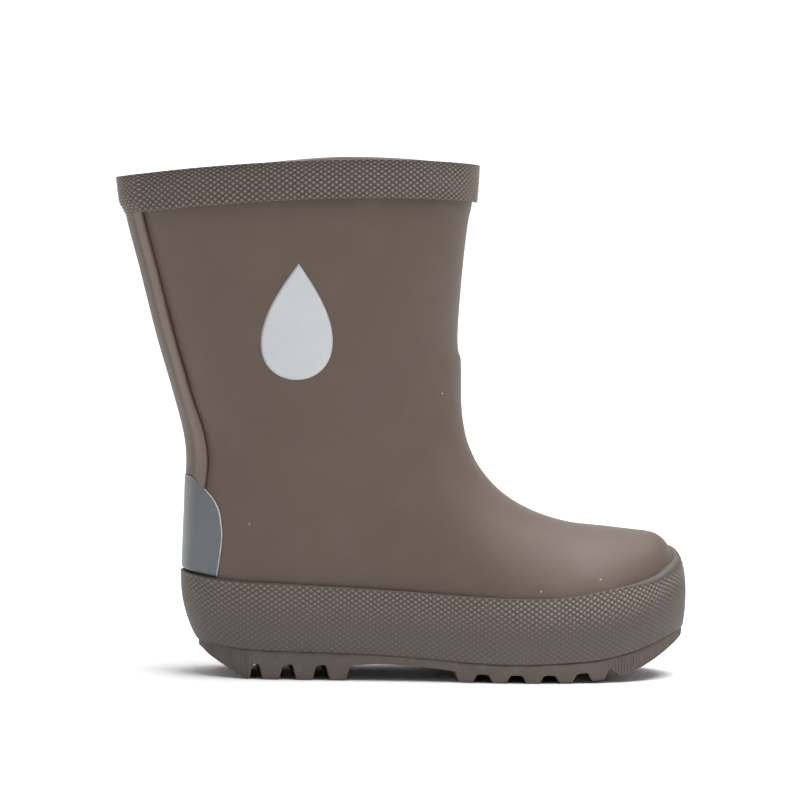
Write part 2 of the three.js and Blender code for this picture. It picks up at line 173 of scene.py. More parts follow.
def round_off(distance: np.ndarray, radius: float | np.ndarray) -> np.ndarray:
    """How far a rounded edge falls back at a distance from the edge."""
    inside = radius - np.minimum(distance, radius)
    return radius - np.sqrt(np.maximum(radius**2 - inside**2, 0))


def normals_of(grid: np.ndarray) -> np.ndarray:
    """Outward normals of a grid of rings that runs from toe or floor towards the collar.

    Args:
        grid: points, shaped (rows, columns, 3), its columns closed in a ring.

    Returns:
        Unit normals in the same shape.
    """
    padded = np.concatenate([grid[:1], grid, grid[-1:]])
    along = padded[2:] - padded[:-2]
    around = np.roll(grid, -1, Axis.COLUMNS.value) - np.roll(grid, 1, Axis.COLUMNS.value)
    normal = np.cross(around, along)
    return normal / np.maximum(np.linalg.norm(normal, axis=2, keepdims=True), 1e-12)


def arc_lengths(line: np.ndarray) -> np.ndarray:
    """Distance along a polyline at each of its points."""
    steps = np.linalg.norm(np.diff(line, axis=0), axis=1)
    return np.concatenate([[0.0], np.cumsum(steps)])


def evenly(line: np.ndarray, count: int) -> np.ndarray:
    """Evenly spaced points along a polyline, its first point included and its last left out."""
    length = arc_lengths(line)
    wanted = length[-1] * np.arange(count) / count
    return np.stack([np.interp(wanted, length, line[:, k]) for k in range(3)], axis=1)


class Last:
    """The form that the upper is built round, given by its sections."""

    fine = 120
    round_width, round_top, round_bottom = 30.0, 12.0, 12.0
    toe_fullness = 2.7
    far_lift = 1.4

    def __init__(self) -> None:
        """Keeps the table of stations."""
        self.table = np.array(STATIONS, float)

    def ring(self, place: float, count: int) -> np.ndarray:
        """One section, from under the foot up the outer side and down the inner side.

        Args:
            place: fractional station number.
            count: how many points, evenly spaced.

        Returns:
            Points shaped (count, 3).
        """
        ux, uz, ox, oz, half, shift, widest, sole, ridge, lift = catmull(self.table, np.array([place]))[0]
        distance = max(TOE_X - ox, 0.0)

        def grow(length: float, power: float) -> float:
            """The rounding factor at this distance from the tip of the toe."""
            return 1.0 if distance >= length else (1 - (1 - distance / length) ** power) ** (1 / power)

        half *= grow(self.round_width, 2.2)
        oz = TOE_Z + (oz - TOE_Z) * grow(self.round_top, self.toe_fullness)
        uz = TOE_Z + (uz - TOE_Z) * grow(self.round_bottom, 2)
        angle = np.linspace(0, math.pi, self.fine + 1)
        low = angle < math.pi / 2
        power = np.where(low, 2 / sole, 2 / ridge)
        reach = np.abs(np.cos(angle)) ** power
        along = np.where(low, widest * (1 - reach), widest + (1 - widest) * reach)
        across = np.abs(np.sin(angle)) ** power
        x = ux + (ox - ux) * along
        z = uz + (oz - uz) * along + lift * across**2
        outer = np.stack([x, shift - half * across, z], axis=1)
        far = self.far_lift * smooth_step(np.array([place]), RIM - 3, RIM)[0] * smooth_step(x, 20, 62)
        inner = np.stack([x, shift + half * across, z + far * across**2], axis=1)
        return np.concatenate([evenly(outer, count // 2), evenly(inner[::-1], count // 2)])

    def rings(self, places: np.ndarray, count: int) -> np.ndarray:
        """The sections at several places, shaped (places, count, 3)."""
        return np.stack([self.ring(float(place), count) for place in places])


def shell_places(toe_rows: int, step: float) -> np.ndarray:
    """Places of the rows of a shell: crowded at the tip of the toe, then even up to the rim."""
    toe = (np.arange(1, toe_rows + 1) / toe_rows) ** 2
    count = round((RIM - 1) / step)
    return np.concatenate([toe, 1 + (RIM - 1) * np.arange(1, count + 1) / count])


class FootWall:
    """Points of the upper's outside, met from inside the foot at heights of the side view."""

    heel_x, toe_x, radius = 32.0, 138.0, 25.0
    toe_lift = 5.3

    def __init__(self, last: Last) -> None:
        """Builds the search tree of the upper's outside.

        Args:
            last: the form.
        """
        grid = last.rings(shell_places(36, 0.08), 200)
        rows, columns = grid.shape[:2]
        corner = np.arange((rows - 1) * columns).reshape(rows - 1, columns)
        beside = np.roll(corner, -1, 1)
        quads = np.stack([corner, beside, beside + columns, corner + columns], axis=2).reshape(-1, 4)
        points = [Vector(p) for p in grid.reshape(-1, 3)]
        tip = len(points)
        points.append(Vector((TOE_X, STATIONS[0][5], TOE_Z)))
        faces = [tuple(int(n) for n in quad) for quad in quads]
        faces += [(tip, (j + 1) % columns, j) for j in range(columns)]
        self.tree = BVHTree.FromPolygons(points, faces)

    def ray(self, turn: float) -> tuple[float, float, float, float]:
        """Start and direction, in plan, of the ray at a turn round the foot.

        Args:
            turn: 0 at the back of the heel, a quarter on the outer side, a half at the toe.

        Returns:
            Start x and y, and direction x and y.
        """
        quarter = self.radius * math.pi / 2
        straight = self.toe_x - self.heel_x
        way = (turn % 1.0) * (4 * quarter + 2 * straight)
        stops = np.cumsum([quarter, straight, 2 * quarter, straight, quarter])
        if way < stops[0]:
            angle = way / self.radius
            return self.heel_x, 0.0, -math.cos(angle), -math.sin(angle)
        if way < stops[1]:
            return self.heel_x + way - stops[0], 0.0, 0.0, -1.0
        if way < stops[2]:
            angle = (way - stops[1]) / self.radius
            return self.toe_x, 0.0, math.sin(angle), -math.cos(angle)
        if way < stops[3]:
            return self.toe_x - (way - stops[2]), 0.0, 0.0, 1.0
        angle = (way - stops[3]) / self.radius
        return self.heel_x, 0.0, -math.sin(angle), math.cos(angle)

    def meet(self, turn: float, low: tuple, high: tuple, part: float) -> np.ndarray:
        """The point of the upper at a turn, between two side-view curves.

        Args:
            turn: place round the foot.
            low: side-view curve where part is 0.
            high: side-view curve where part is 1.
            part: height between the curves.

        Returns:
            The point.
        """
        sx, sy, dx, dy = self.ray(turn)
        x = sx + 25 * dx
        lift = 0.0
        for _ in range(5):
            z = float(heights(low, x) * (1 - part) + heights(high, x) * part) + part * lift
            hit = self.tree.ray_cast(Vector((sx, sy, z)), Vector((dx, dy, 0)))[0]
            x = hit.x
            if high is FOXING_TOP:
                inner_toe = smooth_step(np.array(x), 152, 165) * smooth_step(np.array(hit.y), -1, 12)
                lift = self.toe_lift * float(inner_toe)
        return np.array(hit)

    def sheet(self, turns: np.ndarray, low: tuple, high: tuple, parts: np.ndarray) -> np.ndarray:
        """A grid of points of the upper between two side-view curves, shaped (parts, turns, 3)."""
        return np.array([[self.meet(t, low, high, p) for t in turns] for p in parts])

    def even_turns(self, low: tuple, high: tuple, count: int) -> np.ndarray:
        """Turns that stand evenly along the middle of the wall between two curves."""
        coarse = np.linspace(0, 1, 721)
        line = self.sheet(coarse, low, high, np.array([0.5]))[0]
        length = arc_lengths(line)
        return np.interp(length[-1] * np.arange(count) / count, length, coarse)


LAST = Last()
WALL_OF_FOOT = FootWall(LAST)
SHIFT = np.array([
    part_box("upper")[1][0] / MM - TOE_X,
    (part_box("top_band")[0][1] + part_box("top_band")[1][1]) / 2 / MM,
    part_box("outsole")[0][2] / MM,
])


def to_frame(points: np.ndarray) -> np.ndarray:
    """Metres in the part's frame, from millimetres in the last's axes."""
    return (points + SHIFT) * MM


# ---- Meshes -------------------------------------------------------------------------------


def link(name: str, bm: bmesh.types.BMesh) -> bpy.types.Object:
    """Turns a bmesh into a smooth-shaded object of the scene.

    Args:
        name: the piece's name.
        bm: its mesh, which is freed.

    Returns:
        The new object, at the origin.
    """
    mesh = bpy.data.meshes.new(name)
    bm.to_mesh(mesh)
    bm.free()
    mesh.shade_smooth()
    piece = bpy.data.objects.new(name, mesh)
    bpy.context.scene.collection.objects.link(piece)
    return piece


def bend_grid(
    points: np.ndarray, spread: np.ndarray, wrap_rows: bool = False, wrap_columns: bool = False,
    raised: np.ndarray | None = None,
) -> bmesh.types.BMesh:
    """Bends a flat grid to given points and welds it where its edges meet.

    Args:
        points: where the grid goes, in millimetres, shaped (rows, columns, 3).
        spread: the pattern's own coordinates, in millimetres, shaped (rows, columns, 2).
        wrap_rows: whether the last row joins the first.
        wrap_columns: whether the last column joins the first.
        raised: how strong a knurl is at each point, shaped (rows, columns), or None where there is none.

    Returns:
        The bent mesh, with spread as its UV map and raised as an attribute of that name.
    """
    if wrap_columns:
        points = np.concatenate([points, points[:, :1]], axis=1)
        step = spread[:, 1:2] - spread[:, 0:1]
        spread = np.concatenate([spread, spread[:, -1:] + step], axis=1)
    if wrap_rows:
        points = np.concatenate([points, points[:1]])
        spread = np.concatenate([spread, spread[-1:]])
    rows, columns = points.shape[:2]
    bm = bmesh.new()
    bmesh.ops.create_grid(bm, x_segments=columns - 1, y_segments=rows - 1, size=1.0)
    uv = bm.loops.layers.uv.new("UVMap")
    placed = to_frame(points)
    strength = bm.verts.layers.float.new("raised") if raised is not None else None
    for vert in bm.verts:
        i = round((vert.co.y + 1) / 2 * (rows - 1))
        j = round((vert.co.x + 1) / 2 * (columns - 1))
        vert.co = placed[i, j]
        vert.index = i * columns + j
        if strength is not None:
            vert[strength] = raised[i % len(raised), j % raised.shape[1]]
    flat = spread.reshape(-1, 2) * MM
    for face in bm.faces:
        for loop in face.loops:
            loop[uv].uv = flat[loop.vert.index]
    bmesh.ops.remove_doubles(bm, verts=bm.verts, dist=2e-6)
    return bm


def close_up(bm: bmesh.types.BMesh) -> None:
    """Makes every face of a closed mesh point outwards."""
    bmesh.ops.recalc_face_normals(bm, faces=bm.faces)


def cut_below(bm: bmesh.types.BMesh, curve: tuple, raise_by: float) -> None:
    """Cuts a mesh open along a side-view curve and closes its wall there.

    Args:
        bm: a hollow shell in the part's frame.
        curve: side-view curve to cut along.
        raise_by: distance of the cut above the curve, in millimetres.
    """
    def floor_at(vert: bmesh.types.BMVert) -> float:
        """Height of the cut under a vertex, in metres."""
        return float((heights(curve, vert.co.x / MM - SHIFT[0]) + raise_by + SHIFT[2]) * MM)

    for vert in bm.verts:
        vert.co.z -= floor_at(vert)
    bmesh.ops.bisect_plane(
        bm, geom=[*bm.verts, *bm.edges, *bm.faces], dist=1e-7, plane_co=(0, 0, 0), plane_no=(0, 0, 1),
        clear_inner=True)
    for vert in bm.verts:
        vert.co.z += floor_at(vert)
    bmesh.ops.bridge_loops(bm, edges=[edge for edge in bm.edges if edge.is_boundary])


def plain_spread(grid: np.ndarray) -> np.ndarray:
    """Pattern coordinates measured along a grid's middle row and middle column."""
    rows, columns = grid.shape[:2]
    across = arc_lengths(grid[rows // 2])
    up = arc_lengths(grid[:, columns // 2])
    return np.stack(np.meshgrid(across, up), axis=2)


# ---- Finishes -----------------------------------------------------------------------------


def tone(red: float, green: float, blue: float) -> tuple[float, float, float, float]:
    """A shader colour from 0 to 255 screen values."""
    def linear(value: float) -> float:
        """Linear light from one screen value."""
        return ((value / 255 + 0.055) / 1.055) ** 2.4 if value > 10.3 else value / 255 / 12.92

    return (linear(red), linear(green), linear(blue), 1.0)


class Wiring:
    """Shader nodes being joined in one tree."""

    tree: bpy.types.NodeTree

    def node(self, kind: str, **settings: object) -> bpy.types.Node:
        """Adds a shader node.

        Args:
            kind: its type, without the ShaderNode prefix.
            settings: values of its attributes.

        Returns:
            The node.
        """
        node = self.tree.nodes.new(f"ShaderNode{kind}")
        for key, value in settings.items():
            setattr(node, key, value)
        return node

    def join(self, start: bpy.types.NodeSocket, end: bpy.types.NodeSocket) -> None:
        """Links two sockets."""
        self.tree.links.new(start, end)

    def feed(self, socket: bpy.types.NodeSocket, value: object) -> None:
        """Links a socket to another one, or sets its value."""
        if isinstance(value, bpy.types.NodeSocket):
            self.join(value, socket)
        else:
            socket.default_value = value

    def math(self, operation: str, *values: object) -> bpy.types.NodeSocket:
        """Adds a Math node.

        Args:
            operation: what it works out.
            values: what it works on, as sockets or numbers.

        Returns:
            Its result.
        """
        node = self.node("Math", operation=operation)
        for socket, value in zip(node.inputs, values):
            self.feed(socket, value)
        return node.outputs[0]


@dataclass
class Effect(Wiring):
    """A shader node group that several finishes share, built once."""

    name: str

    def __post_init__(self) -> None:
        """Makes the empty group."""
        self.tree = bpy.data.node_groups.new(self.name, "ShaderNodeTree")
        self.inputs = self.tree.nodes.new("NodeGroupInput")
        self.outputs = self.tree.nodes.new("NodeGroupOutput")

    def take(self, name: str, kind: str, value: float | tuple | None = None) -> None:
        """Adds an input socket with its default."""
        socket = self.tree.interface.new_socket(name=name, in_out="INPUT", socket_type=kind)
        if value is not None:
            socket.default_value = value

    def give(self, name: str, kind: str) -> None:
        """Adds an output socket."""
        self.tree.interface.new_socket(name=name, in_out="OUTPUT", socket_type=kind)


def make_blotches() -> bpy.types.NodeTree:
    """Slow and fine changes of tone in a moulded or dipped surface."""
    effect = Effect("blotches")
    effect.take("Colour", "NodeSocketColor")
    effect.take("Amount", "NodeSocketFloat", 0.1)
    effect.take("Size", "NodeSocketFloat", 30.0)
    effect.give("Colour", "NodeSocketColor")
    effect.give("Mask", "NodeSocketFloat")
    place = effect.node("TexCoord")
    noise = effect.node("TexNoise")
    noise.inputs["Detail"].default_value = 4.0
    noise.inputs["Roughness"].default_value = 0.6
    effect.join(place.outputs["Object"], noise.inputs["Vector"])
    effect.join(effect.inputs.outputs["Size"], noise.inputs["Scale"])
    centred = effect.math("SUBTRACT", noise.outputs["Fac"], 0.5)
    scaled = effect.math("MULTIPLY", centred, effect.inputs.outputs["Amount"])
    value = effect.math("ADD", scaled, 1.0)
    tint = effect.node("HueSaturation")
    effect.join(value, tint.inputs["Value"])
    effect.join(effect.inputs.outputs["Colour"], tint.inputs["Color"])
    effect.join(tint.outputs["Color"], effect.outputs.inputs["Colour"])
    effect.join(noise.outputs["Fac"], effect.outputs.inputs["Mask"])
    return effect.tree


def make_dust() -> bpy.types.NodeTree:
    """A few tiny pale specks of dust lying on a surface."""
    effect = Effect("dust_specks")
    effect.take("Colour", "NodeSocketColor")
    effect.take("Dust", "NodeSocketColor", tone(160, 149, 141))
    effect.take("Spacing", "NodeSocketFloat", 70.0)
    effect.take("Speck", "NodeSocketFloat", 0.03)
    effect.take("Share", "NodeSocketFloat", 0.2)
    effect.give("Colour", "NodeSocketColor")
    place = effect.node("TexCoord")
    cells = effect.node("TexVoronoi", feature="F1")
    effect.join(place.outputs["Object"], cells.inputs["Vector"])
    effect.join(effect.inputs.outputs["Spacing"], cells.inputs["Scale"])
    near = effect.math("LESS_THAN", cells.outputs["Distance"], effect.inputs.outputs["Speck"])
    parts = effect.node("SeparateColor")
    effect.join(cells.outputs["Color"], parts.inputs["Color"])
    chosen = effect.math("LESS_THAN", parts.outputs[0], effect.inputs.outputs["Share"])
    mask = effect.math("MULTIPLY", near, chosen)
    mix = effect.node("Mix", data_type="RGBA")
    effect.join(mask, mix.inputs[0])
    effect.join(effect.inputs.outputs["Colour"], mix.inputs[6])
    effect.join(effect.inputs.outputs["Dust"], mix.inputs[7])
    effect.join(mix.outputs[2], effect.outputs.inputs["Colour"])
    return effect.tree


def make_grain() -> bpy.types.NodeTree:
    """Fine grain of a rubber surface, as a height."""
    effect = Effect("fine_grain")
    effect.take("Scale", "NodeSocketFloat", 2500.0)
    effect.give("Height", "NodeSocketFloat")
    place = effect.node("TexCoord")
    noise = effect.node("TexNoise")
    noise.inputs["Detail"].default_value = 3.0
    effect.join(place.outputs["Object"], noise.inputs["Vector"])
    effect.join(effect.inputs.outputs["Scale"], noise.inputs["Scale"])
    effect.join(noise.outputs["Fac"], effect.outputs.inputs["Height"])
    return effect.tree


def make_diamonds() -> bpy.types.NodeTree:
    """Mask of a staggered diamond pattern on the UV map: 1 on each peak, 0 in the grooves."""
    effect = Effect("diamond_mask")
    effect.take("Across", "NodeSocketFloat", 1.0)
    effect.take("Up", "NodeSocketFloat", 1.0)
    effect.give("Mask", "NodeSocketFloat")
    place = effect.node("UVMap", uv_map="UVMap")
    parts = effect.node("SeparateXYZ")
    effect.join(place.outputs["UV"], parts.inputs["Vector"])
    folded = []
    for axis, name in ((0, "Across"), (1, "Up")):
        turns = effect.math("DIVIDE", parts.outputs[axis], effect.inputs.outputs[name])
        moved = effect.math("ADD", turns, 0.5)
        fraction = effect.math("FRACT", moved)
        centred = effect.math("SUBTRACT", fraction, 0.5)
        folded.append(effect.math("ABSOLUTE", centred))
    total = effect.math("ADD", folded[0], folded[1])
    doubled = effect.math("MULTIPLY", total, 2.0)
    height = effect.math("SUBTRACT", 1.0, doubled)
    effect.join(effect.math("ABSOLUTE", height), effect.outputs.inputs["Mask"])
    return effect.tree


EFFECTS = {
    "blotches": make_blotches(),
    "dust": make_dust(),
    "grain": make_grain(),
    "diamonds": make_diamonds(),
}


@dataclass
class Finish(Wiring):
    """A material under construction: a Principled shader and the nodes that feed it."""

    name: str
    roughness: float
    specular: float = 0.5

    def __post_init__(self) -> None:
        """Makes the material and its shader."""
        self.material = bpy.data.materials.new(self.name)
        self.material.use_nodes = True
        self.tree = self.material.node_tree
        self.tree.nodes.clear()
        self.shader = self.node("BsdfPrincipled")
        self.shader.inputs["Roughness"].default_value = self.roughness
        self.shader.inputs["Specular IOR Level"].default_value = self.specular
        end = self.node("OutputMaterial")
        self.join(self.shader.outputs["BSDF"], end.inputs["Surface"])

    def effect(self, name: str, **values: object) -> bpy.types.Node:
        """Places a shared effect with this finish's own values."""
        node = self.tree.nodes.new("ShaderNodeGroup")
        node.node_tree = EFFECTS[name]
        for key, value in values.items():
            self.feed(node.inputs[key], value)
        return node

    def colour(self, socket: bpy.types.NodeSocket) -> None:
        """Feeds the base colour."""
        self.join(socket, self.shader.inputs["Base Color"])

    def rough(self, mask: bpy.types.NodeSocket, low: float, high: float) -> None:
        """Lets the roughness follow a mask between two values."""
        spread = self.node("MapRange")
        spread.inputs["To Min"].default_value = low
        spread.inputs["To Max"].default_value = high
        self.join(mask, spread.inputs["Value"])
        self.join(spread.outputs["Result"], self.shader.inputs["Roughness"])

    def bump(self, height: bpy.types.NodeSocket, strength: float, distance: float) -> None:
        """Adds a bump over the ones already there."""
        node = self.node("Bump")
        node.inputs["Strength"].default_value = strength
        node.inputs["Distance"].default_value = distance
        self.join(height, node.inputs["Height"])
        before = self.shader.inputs["Normal"].links
        if before:
            self.join(before[0].from_socket, node.inputs["Normal"])
        self.join(node.outputs["Normal"], self.shader.inputs["Normal"])

    def mix(self, mask: bpy.types.NodeSocket, low: object, high: object) -> bpy.types.NodeSocket:
        """Mixes two colours, given as sockets or values, by a mask."""
        node = self.node("Mix", data_type="RGBA")
        self.join(mask, node.inputs[0])
        self.feed(node.inputs[6], low)
        self.feed(node.inputs[7], high)
        return node.outputs[2]


@dataclass(frozen=True)
class SmoothRubber:
    """Satin natural rubber of the shaft and foot, with a little bloom and dust."""

    name: str = "smooth_rubber"
    base: tuple = tone(90, 77, 69)
    bloom: tuple = tone(105, 94, 87)

    def build(self) -> bpy.types.Material:
        """Makes the material."""
        finish = Finish(self.name, roughness=0.5, specular=0.32)
        blotch = finish.effect("blotches", Colour=self.base, Amount=0.16, Size=28.0)
        haze = finish.effect("blotches", Colour=self.base, Amount=0.0, Size=75.0)
        veil = finish.node("MapRange")
        veil.inputs["From Min"].default_value = 0.5
        veil.inputs["From Max"].default_value = 0.85
        veil.inputs["To Max"].default_value = 0.3
        finish.join(haze.outputs["Mask"], veil.inputs["Value"])
        own = self.shade(finish, blotch.outputs["Colour"])
        bloomed = finish.mix(veil.outputs["Result"], own, self.bloom)
        dusty = finish.effect("dust", Colour=bloomed, Spacing=95.0, Speck=0.032, Share=0.09)
        finish.colour(dusty.outputs["Colour"])
        finish.rough(haze.outputs["Mask"], 0.44, 0.58)
        finish.bump(finish.effect("grain", Scale=2600.0).outputs["Height"], 0.12, 0.0002)
        finish.bump(finish.effect("grain", Scale=110.0).outputs["Height"], 0.12, 0.0012)
        return finish.material

    def shade(self, finish: Finish, colour: bpy.types.NodeSocket) -> bpy.types.NodeSocket:
        """The rubber's own colour, even all over."""
        return colour


@dataclass(frozen=True)
class StripRubber(SmoothRubber):
    """The same rubber on the back strip, with a painted highlight on its flanges and painted shade on its
    middle.
    """

    name: str = "strip_rubber"
    half: float = STRIP_HALF
    flange: float = 3.6
    # Painted shade for the strip's middle and a painted highlight for its flanges, where light falls on
    # them.
    middle: tuple = tone(86, 74, 66)
    wear_and_painted_highlight: tuple = tone(112, 98, 89)

    def shade(self, finish: Finish, colour: bpy.types.NodeSocket) -> bpy.types.NodeSocket:
        """The rubber's colour across the strip.

        Args:
            finish: the material under construction.
            colour: the colour of the smooth rubber, not used here.

        Returns:
            The colour, with a painted highlight near both edges and painted shade in the middle.
        """
        place = finish.node("UVMap", uv_map="UVMap")
        parts = finish.node("SeparateXYZ")
        finish.join(place.outputs["UV"], parts.inputs["Vector"])
        side = finish.node("MapRange", interpolation_type="SMOOTHSTEP")
        side.inputs["From Min"].default_value = (self.half - self.flange - 0.6) * MM
        side.inputs["From Max"].default_value = (self.half - self.flange + 0.6) * MM
        finish.join(finish.math("ABSOLUTE", parts.outputs[0]), side.inputs["Value"])
        # Painted highlight near the strip's edges over painted shade in its middle.
        return finish.mix(side.outputs["Result"], self.middle, self.wear_and_painted_highlight)


@dataclass(frozen=True)
class KnurledRubber:
    """Rubber of the foxing and collar band: its diamond peaks paler, partly from wear and partly as a
    painted highlight, with painted shade in its grooves.
    """

    across: float
    up: float
    name: str = "knurled_rubber"
    # Painted shade in the grooves and a painted highlight, with some wear, on the peaks.
    groove: tuple = tone(66, 58, 52)
    peak: tuple = tone(130, 116, 107)
    plain: float = 0.02

    def build(self) -> bpy.types.Material:
        """Makes the material."""
        finish = Finish(self.name, roughness=0.4, specular=0.6)
        diamonds = finish.effect("diamonds", Across=self.across * MM, Up=self.up * MM).outputs["Mask"]
        raised = finish.node("Attribute", attribute_name="raised").outputs["Fac"]
        off_mean = finish.math("SUBTRACT", diamonds, self.plain)
        shown = finish.math("MULTIPLY", off_mean, raised)
        mask = finish.math("ADD", shown, self.plain)
        # Painted highlight on the peaks and painted shade in the grooves, partly wear.
        wear_and_painted_light = finish.mix(mask, self.groove, self.peak)
        blotched = finish.effect("blotches", Colour=wear_and_painted_light, Amount=0.22, Size=38.0).outputs["Colour"]
        dusty = finish.effect("dust", Colour=blotched, Spacing=120.0, Speck=0.035, Share=0.08)
        finish.colour(dusty.outputs["Colour"])
        finish.rough(mask, 0.6, 0.36)
        finish.bump(finish.effect("grain", Scale=2200.0).outputs["Height"], 0.15, 0.0002)
        return finish.material


@dataclass(frozen=True)
class SoleRubber:
    """Matt moulded rubber of the outsole."""

    name: str = "sole_rubber"
    base: tuple = tone(92, 82, 77)
    rub: tuple = tone(113, 103, 96)

    def build(self) -> bpy.types.Material:
        """Makes the material."""
        finish = Finish(self.name, roughness=0.66, specular=0.35)
        blotch = finish.effect("blotches", Colour=self.base, Amount=0.24, Size=45.0)
        pits = finish.effect("grain", Scale=420.0)
        wear_and_painted_highlight = finish.node("MapRange")
        wear_and_painted_highlight.inputs["From Min"].default_value = 0.52
        wear_and_painted_highlight.inputs["From Max"].default_value = 0.8
        wear_and_painted_highlight.inputs["To Max"].default_value = 0.5
        finish.join(pits.outputs["Height"], wear_and_painted_highlight.inputs["Value"])
        wear_and_painted_light = finish.mix(wear_and_painted_highlight.outputs["Result"], blotch.outputs["Colour"], self.rub)
        dusty = finish.effect("dust", Colour=wear_and_painted_light, Spacing=140.0, Speck=0.05, Share=0.2)
        finish.colour(dusty.outputs["Colour"])
        finish.rough(pits.outputs["Height"], 0.58, 0.76)
        finish.bump(pits.outputs["Height"], 0.25, 0.0005)
        finish.bump(finish.effect("grain", Scale=1800.0).outputs["Height"], 0.2, 0.0002)
        return finish.material


@dataclass(frozen=True)
class ReflectiveFilm:
    """Grey reflective film: fine glass beads under a satin skin."""

    name: str
    base: tuple
    glint: tuple
    # Width of the painted highlight along the film's cut edge, in millimetres; 0 for none.
    edge_highlight_width: float = 0.0
    roughness: float = 0.38

    def build(self) -> bpy.types.Material:
        """Makes the material."""
        finish = Finish(self.name, roughness=self.roughness, specular=0.6)
        blotch = finish.effect("blotches", Colour=self.base, Amount=0.18, Size=60.0)
        place = finish.node("TexCoord")
        beads = finish.node("TexVoronoi", feature="F1")
        beads.inputs["Scale"].default_value = 3200.0
        finish.join(place.outputs["Object"], beads.inputs["Vector"])
        lit = finish.node("MapRange")
        lit.inputs["From Min"].default_value = 0.45
        lit.inputs["From Max"].default_value = 0.1
        lit.inputs["To Max"].default_value = 0.35
        finish.join(beads.outputs["Distance"], lit.inputs["Value"])
        beaded = finish.mix(lit.outputs["Result"], blotch.outputs["Colour"], self.glint)
        dusty = finish.effect("dust", Colour=beaded, Spacing=150.0, Speck=0.04, Share=0.12)
        colour = dusty.outputs["Colour"]
        if self.edge_highlight_width:
            colour = self.edge_highlight(finish, colour)
        finish.colour(colour)
        finish.rough(blotch.outputs["Mask"], self.roughness - 0.06, self.roughness + 0.14)
        finish.bump(beads.outputs["Distance"], 0.12, 0.0002)
        finish.bump(finish.effect("grain", Scale=170.0).outputs["Height"], 0.2, 0.0006)
        return finish.material

    def edge_highlight(self, finish: Finish, colour: bpy.types.NodeSocket) -> bpy.types.NodeSocket:
        """Paints a pale highlight along the film's cut edge, broken into dashes.

        Args:
            finish: the material under construction.
            colour: the film's colour.

        Returns:
            The colour with its edge.
        """
        place = finish.node("UVMap", uv_map="UVMap")
        parts = finish.node("SeparateXYZ")
        finish.join(place.outputs["UV"], parts.inputs["Vector"])
        scuffs = finish.effect("grain", Scale=900.0).outputs["Height"]
        reach = finish.math("MULTIPLY", scuffs, 2.0 * self.edge_highlight_width * MM)
        mask = finish.math("LESS_THAN", parts.outputs[0], reach)
        # Painted highlight along the cut edge.
        return finish.mix(mask, colour, tone(196, 196, 192))


@dataclass(frozen=True)
class Knit:
    """Cotton knit of the lining and insole cover, its stitches laid on the UV map."""

    name: str = "cotton_knit"
    base: tuple = tone(176, 163, 152)
    shade: tuple = tone(128, 116, 106)
    wale: float = 1.1
    course: float = 0.9

    def build(self) -> bpy.types.Material:
        """Makes the material."""
        finish = Finish(self.name, roughness=0.95, specular=0.2)
        finish.shader.inputs["Sheen Weight"].default_value = 0.25
        loops = finish.effect("diamonds", Across=self.wale * MM, Up=self.course * MM).outputs["Mask"]
        yarn = finish.mix(loops, self.shade, self.base)
        blotch = finish.effect("blotches", Colour=yarn, Amount=0.2, Size=50.0)
        finish.colour(blotch.outputs["Colour"])
        finish.bump(loops, 0.6, 0.0003)
        finish.bump(finish.effect("grain", Scale=3000.0).outputs["Height"], 0.4, 0.0002)
        return finish.material


def dress(piece: bpy.types.Object, material: bpy.types.Material, slot: str, *nodes: str) -> None:
    """Finishes a piece: its material, its body and the solids that it stands for.

    Args:
        piece: the new piece.
        material: its finish.
        slot: the record's material slot; not used.
        nodes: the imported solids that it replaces.
    """
    piece.data.materials.append(material)
    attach(piece, "root")
    if nodes:
        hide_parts(*nodes)
    LOG.info("%s: %d faces", piece.name, len(piece.data.polygons))


# ---- Pieces -------------------------------------------------------------------------------


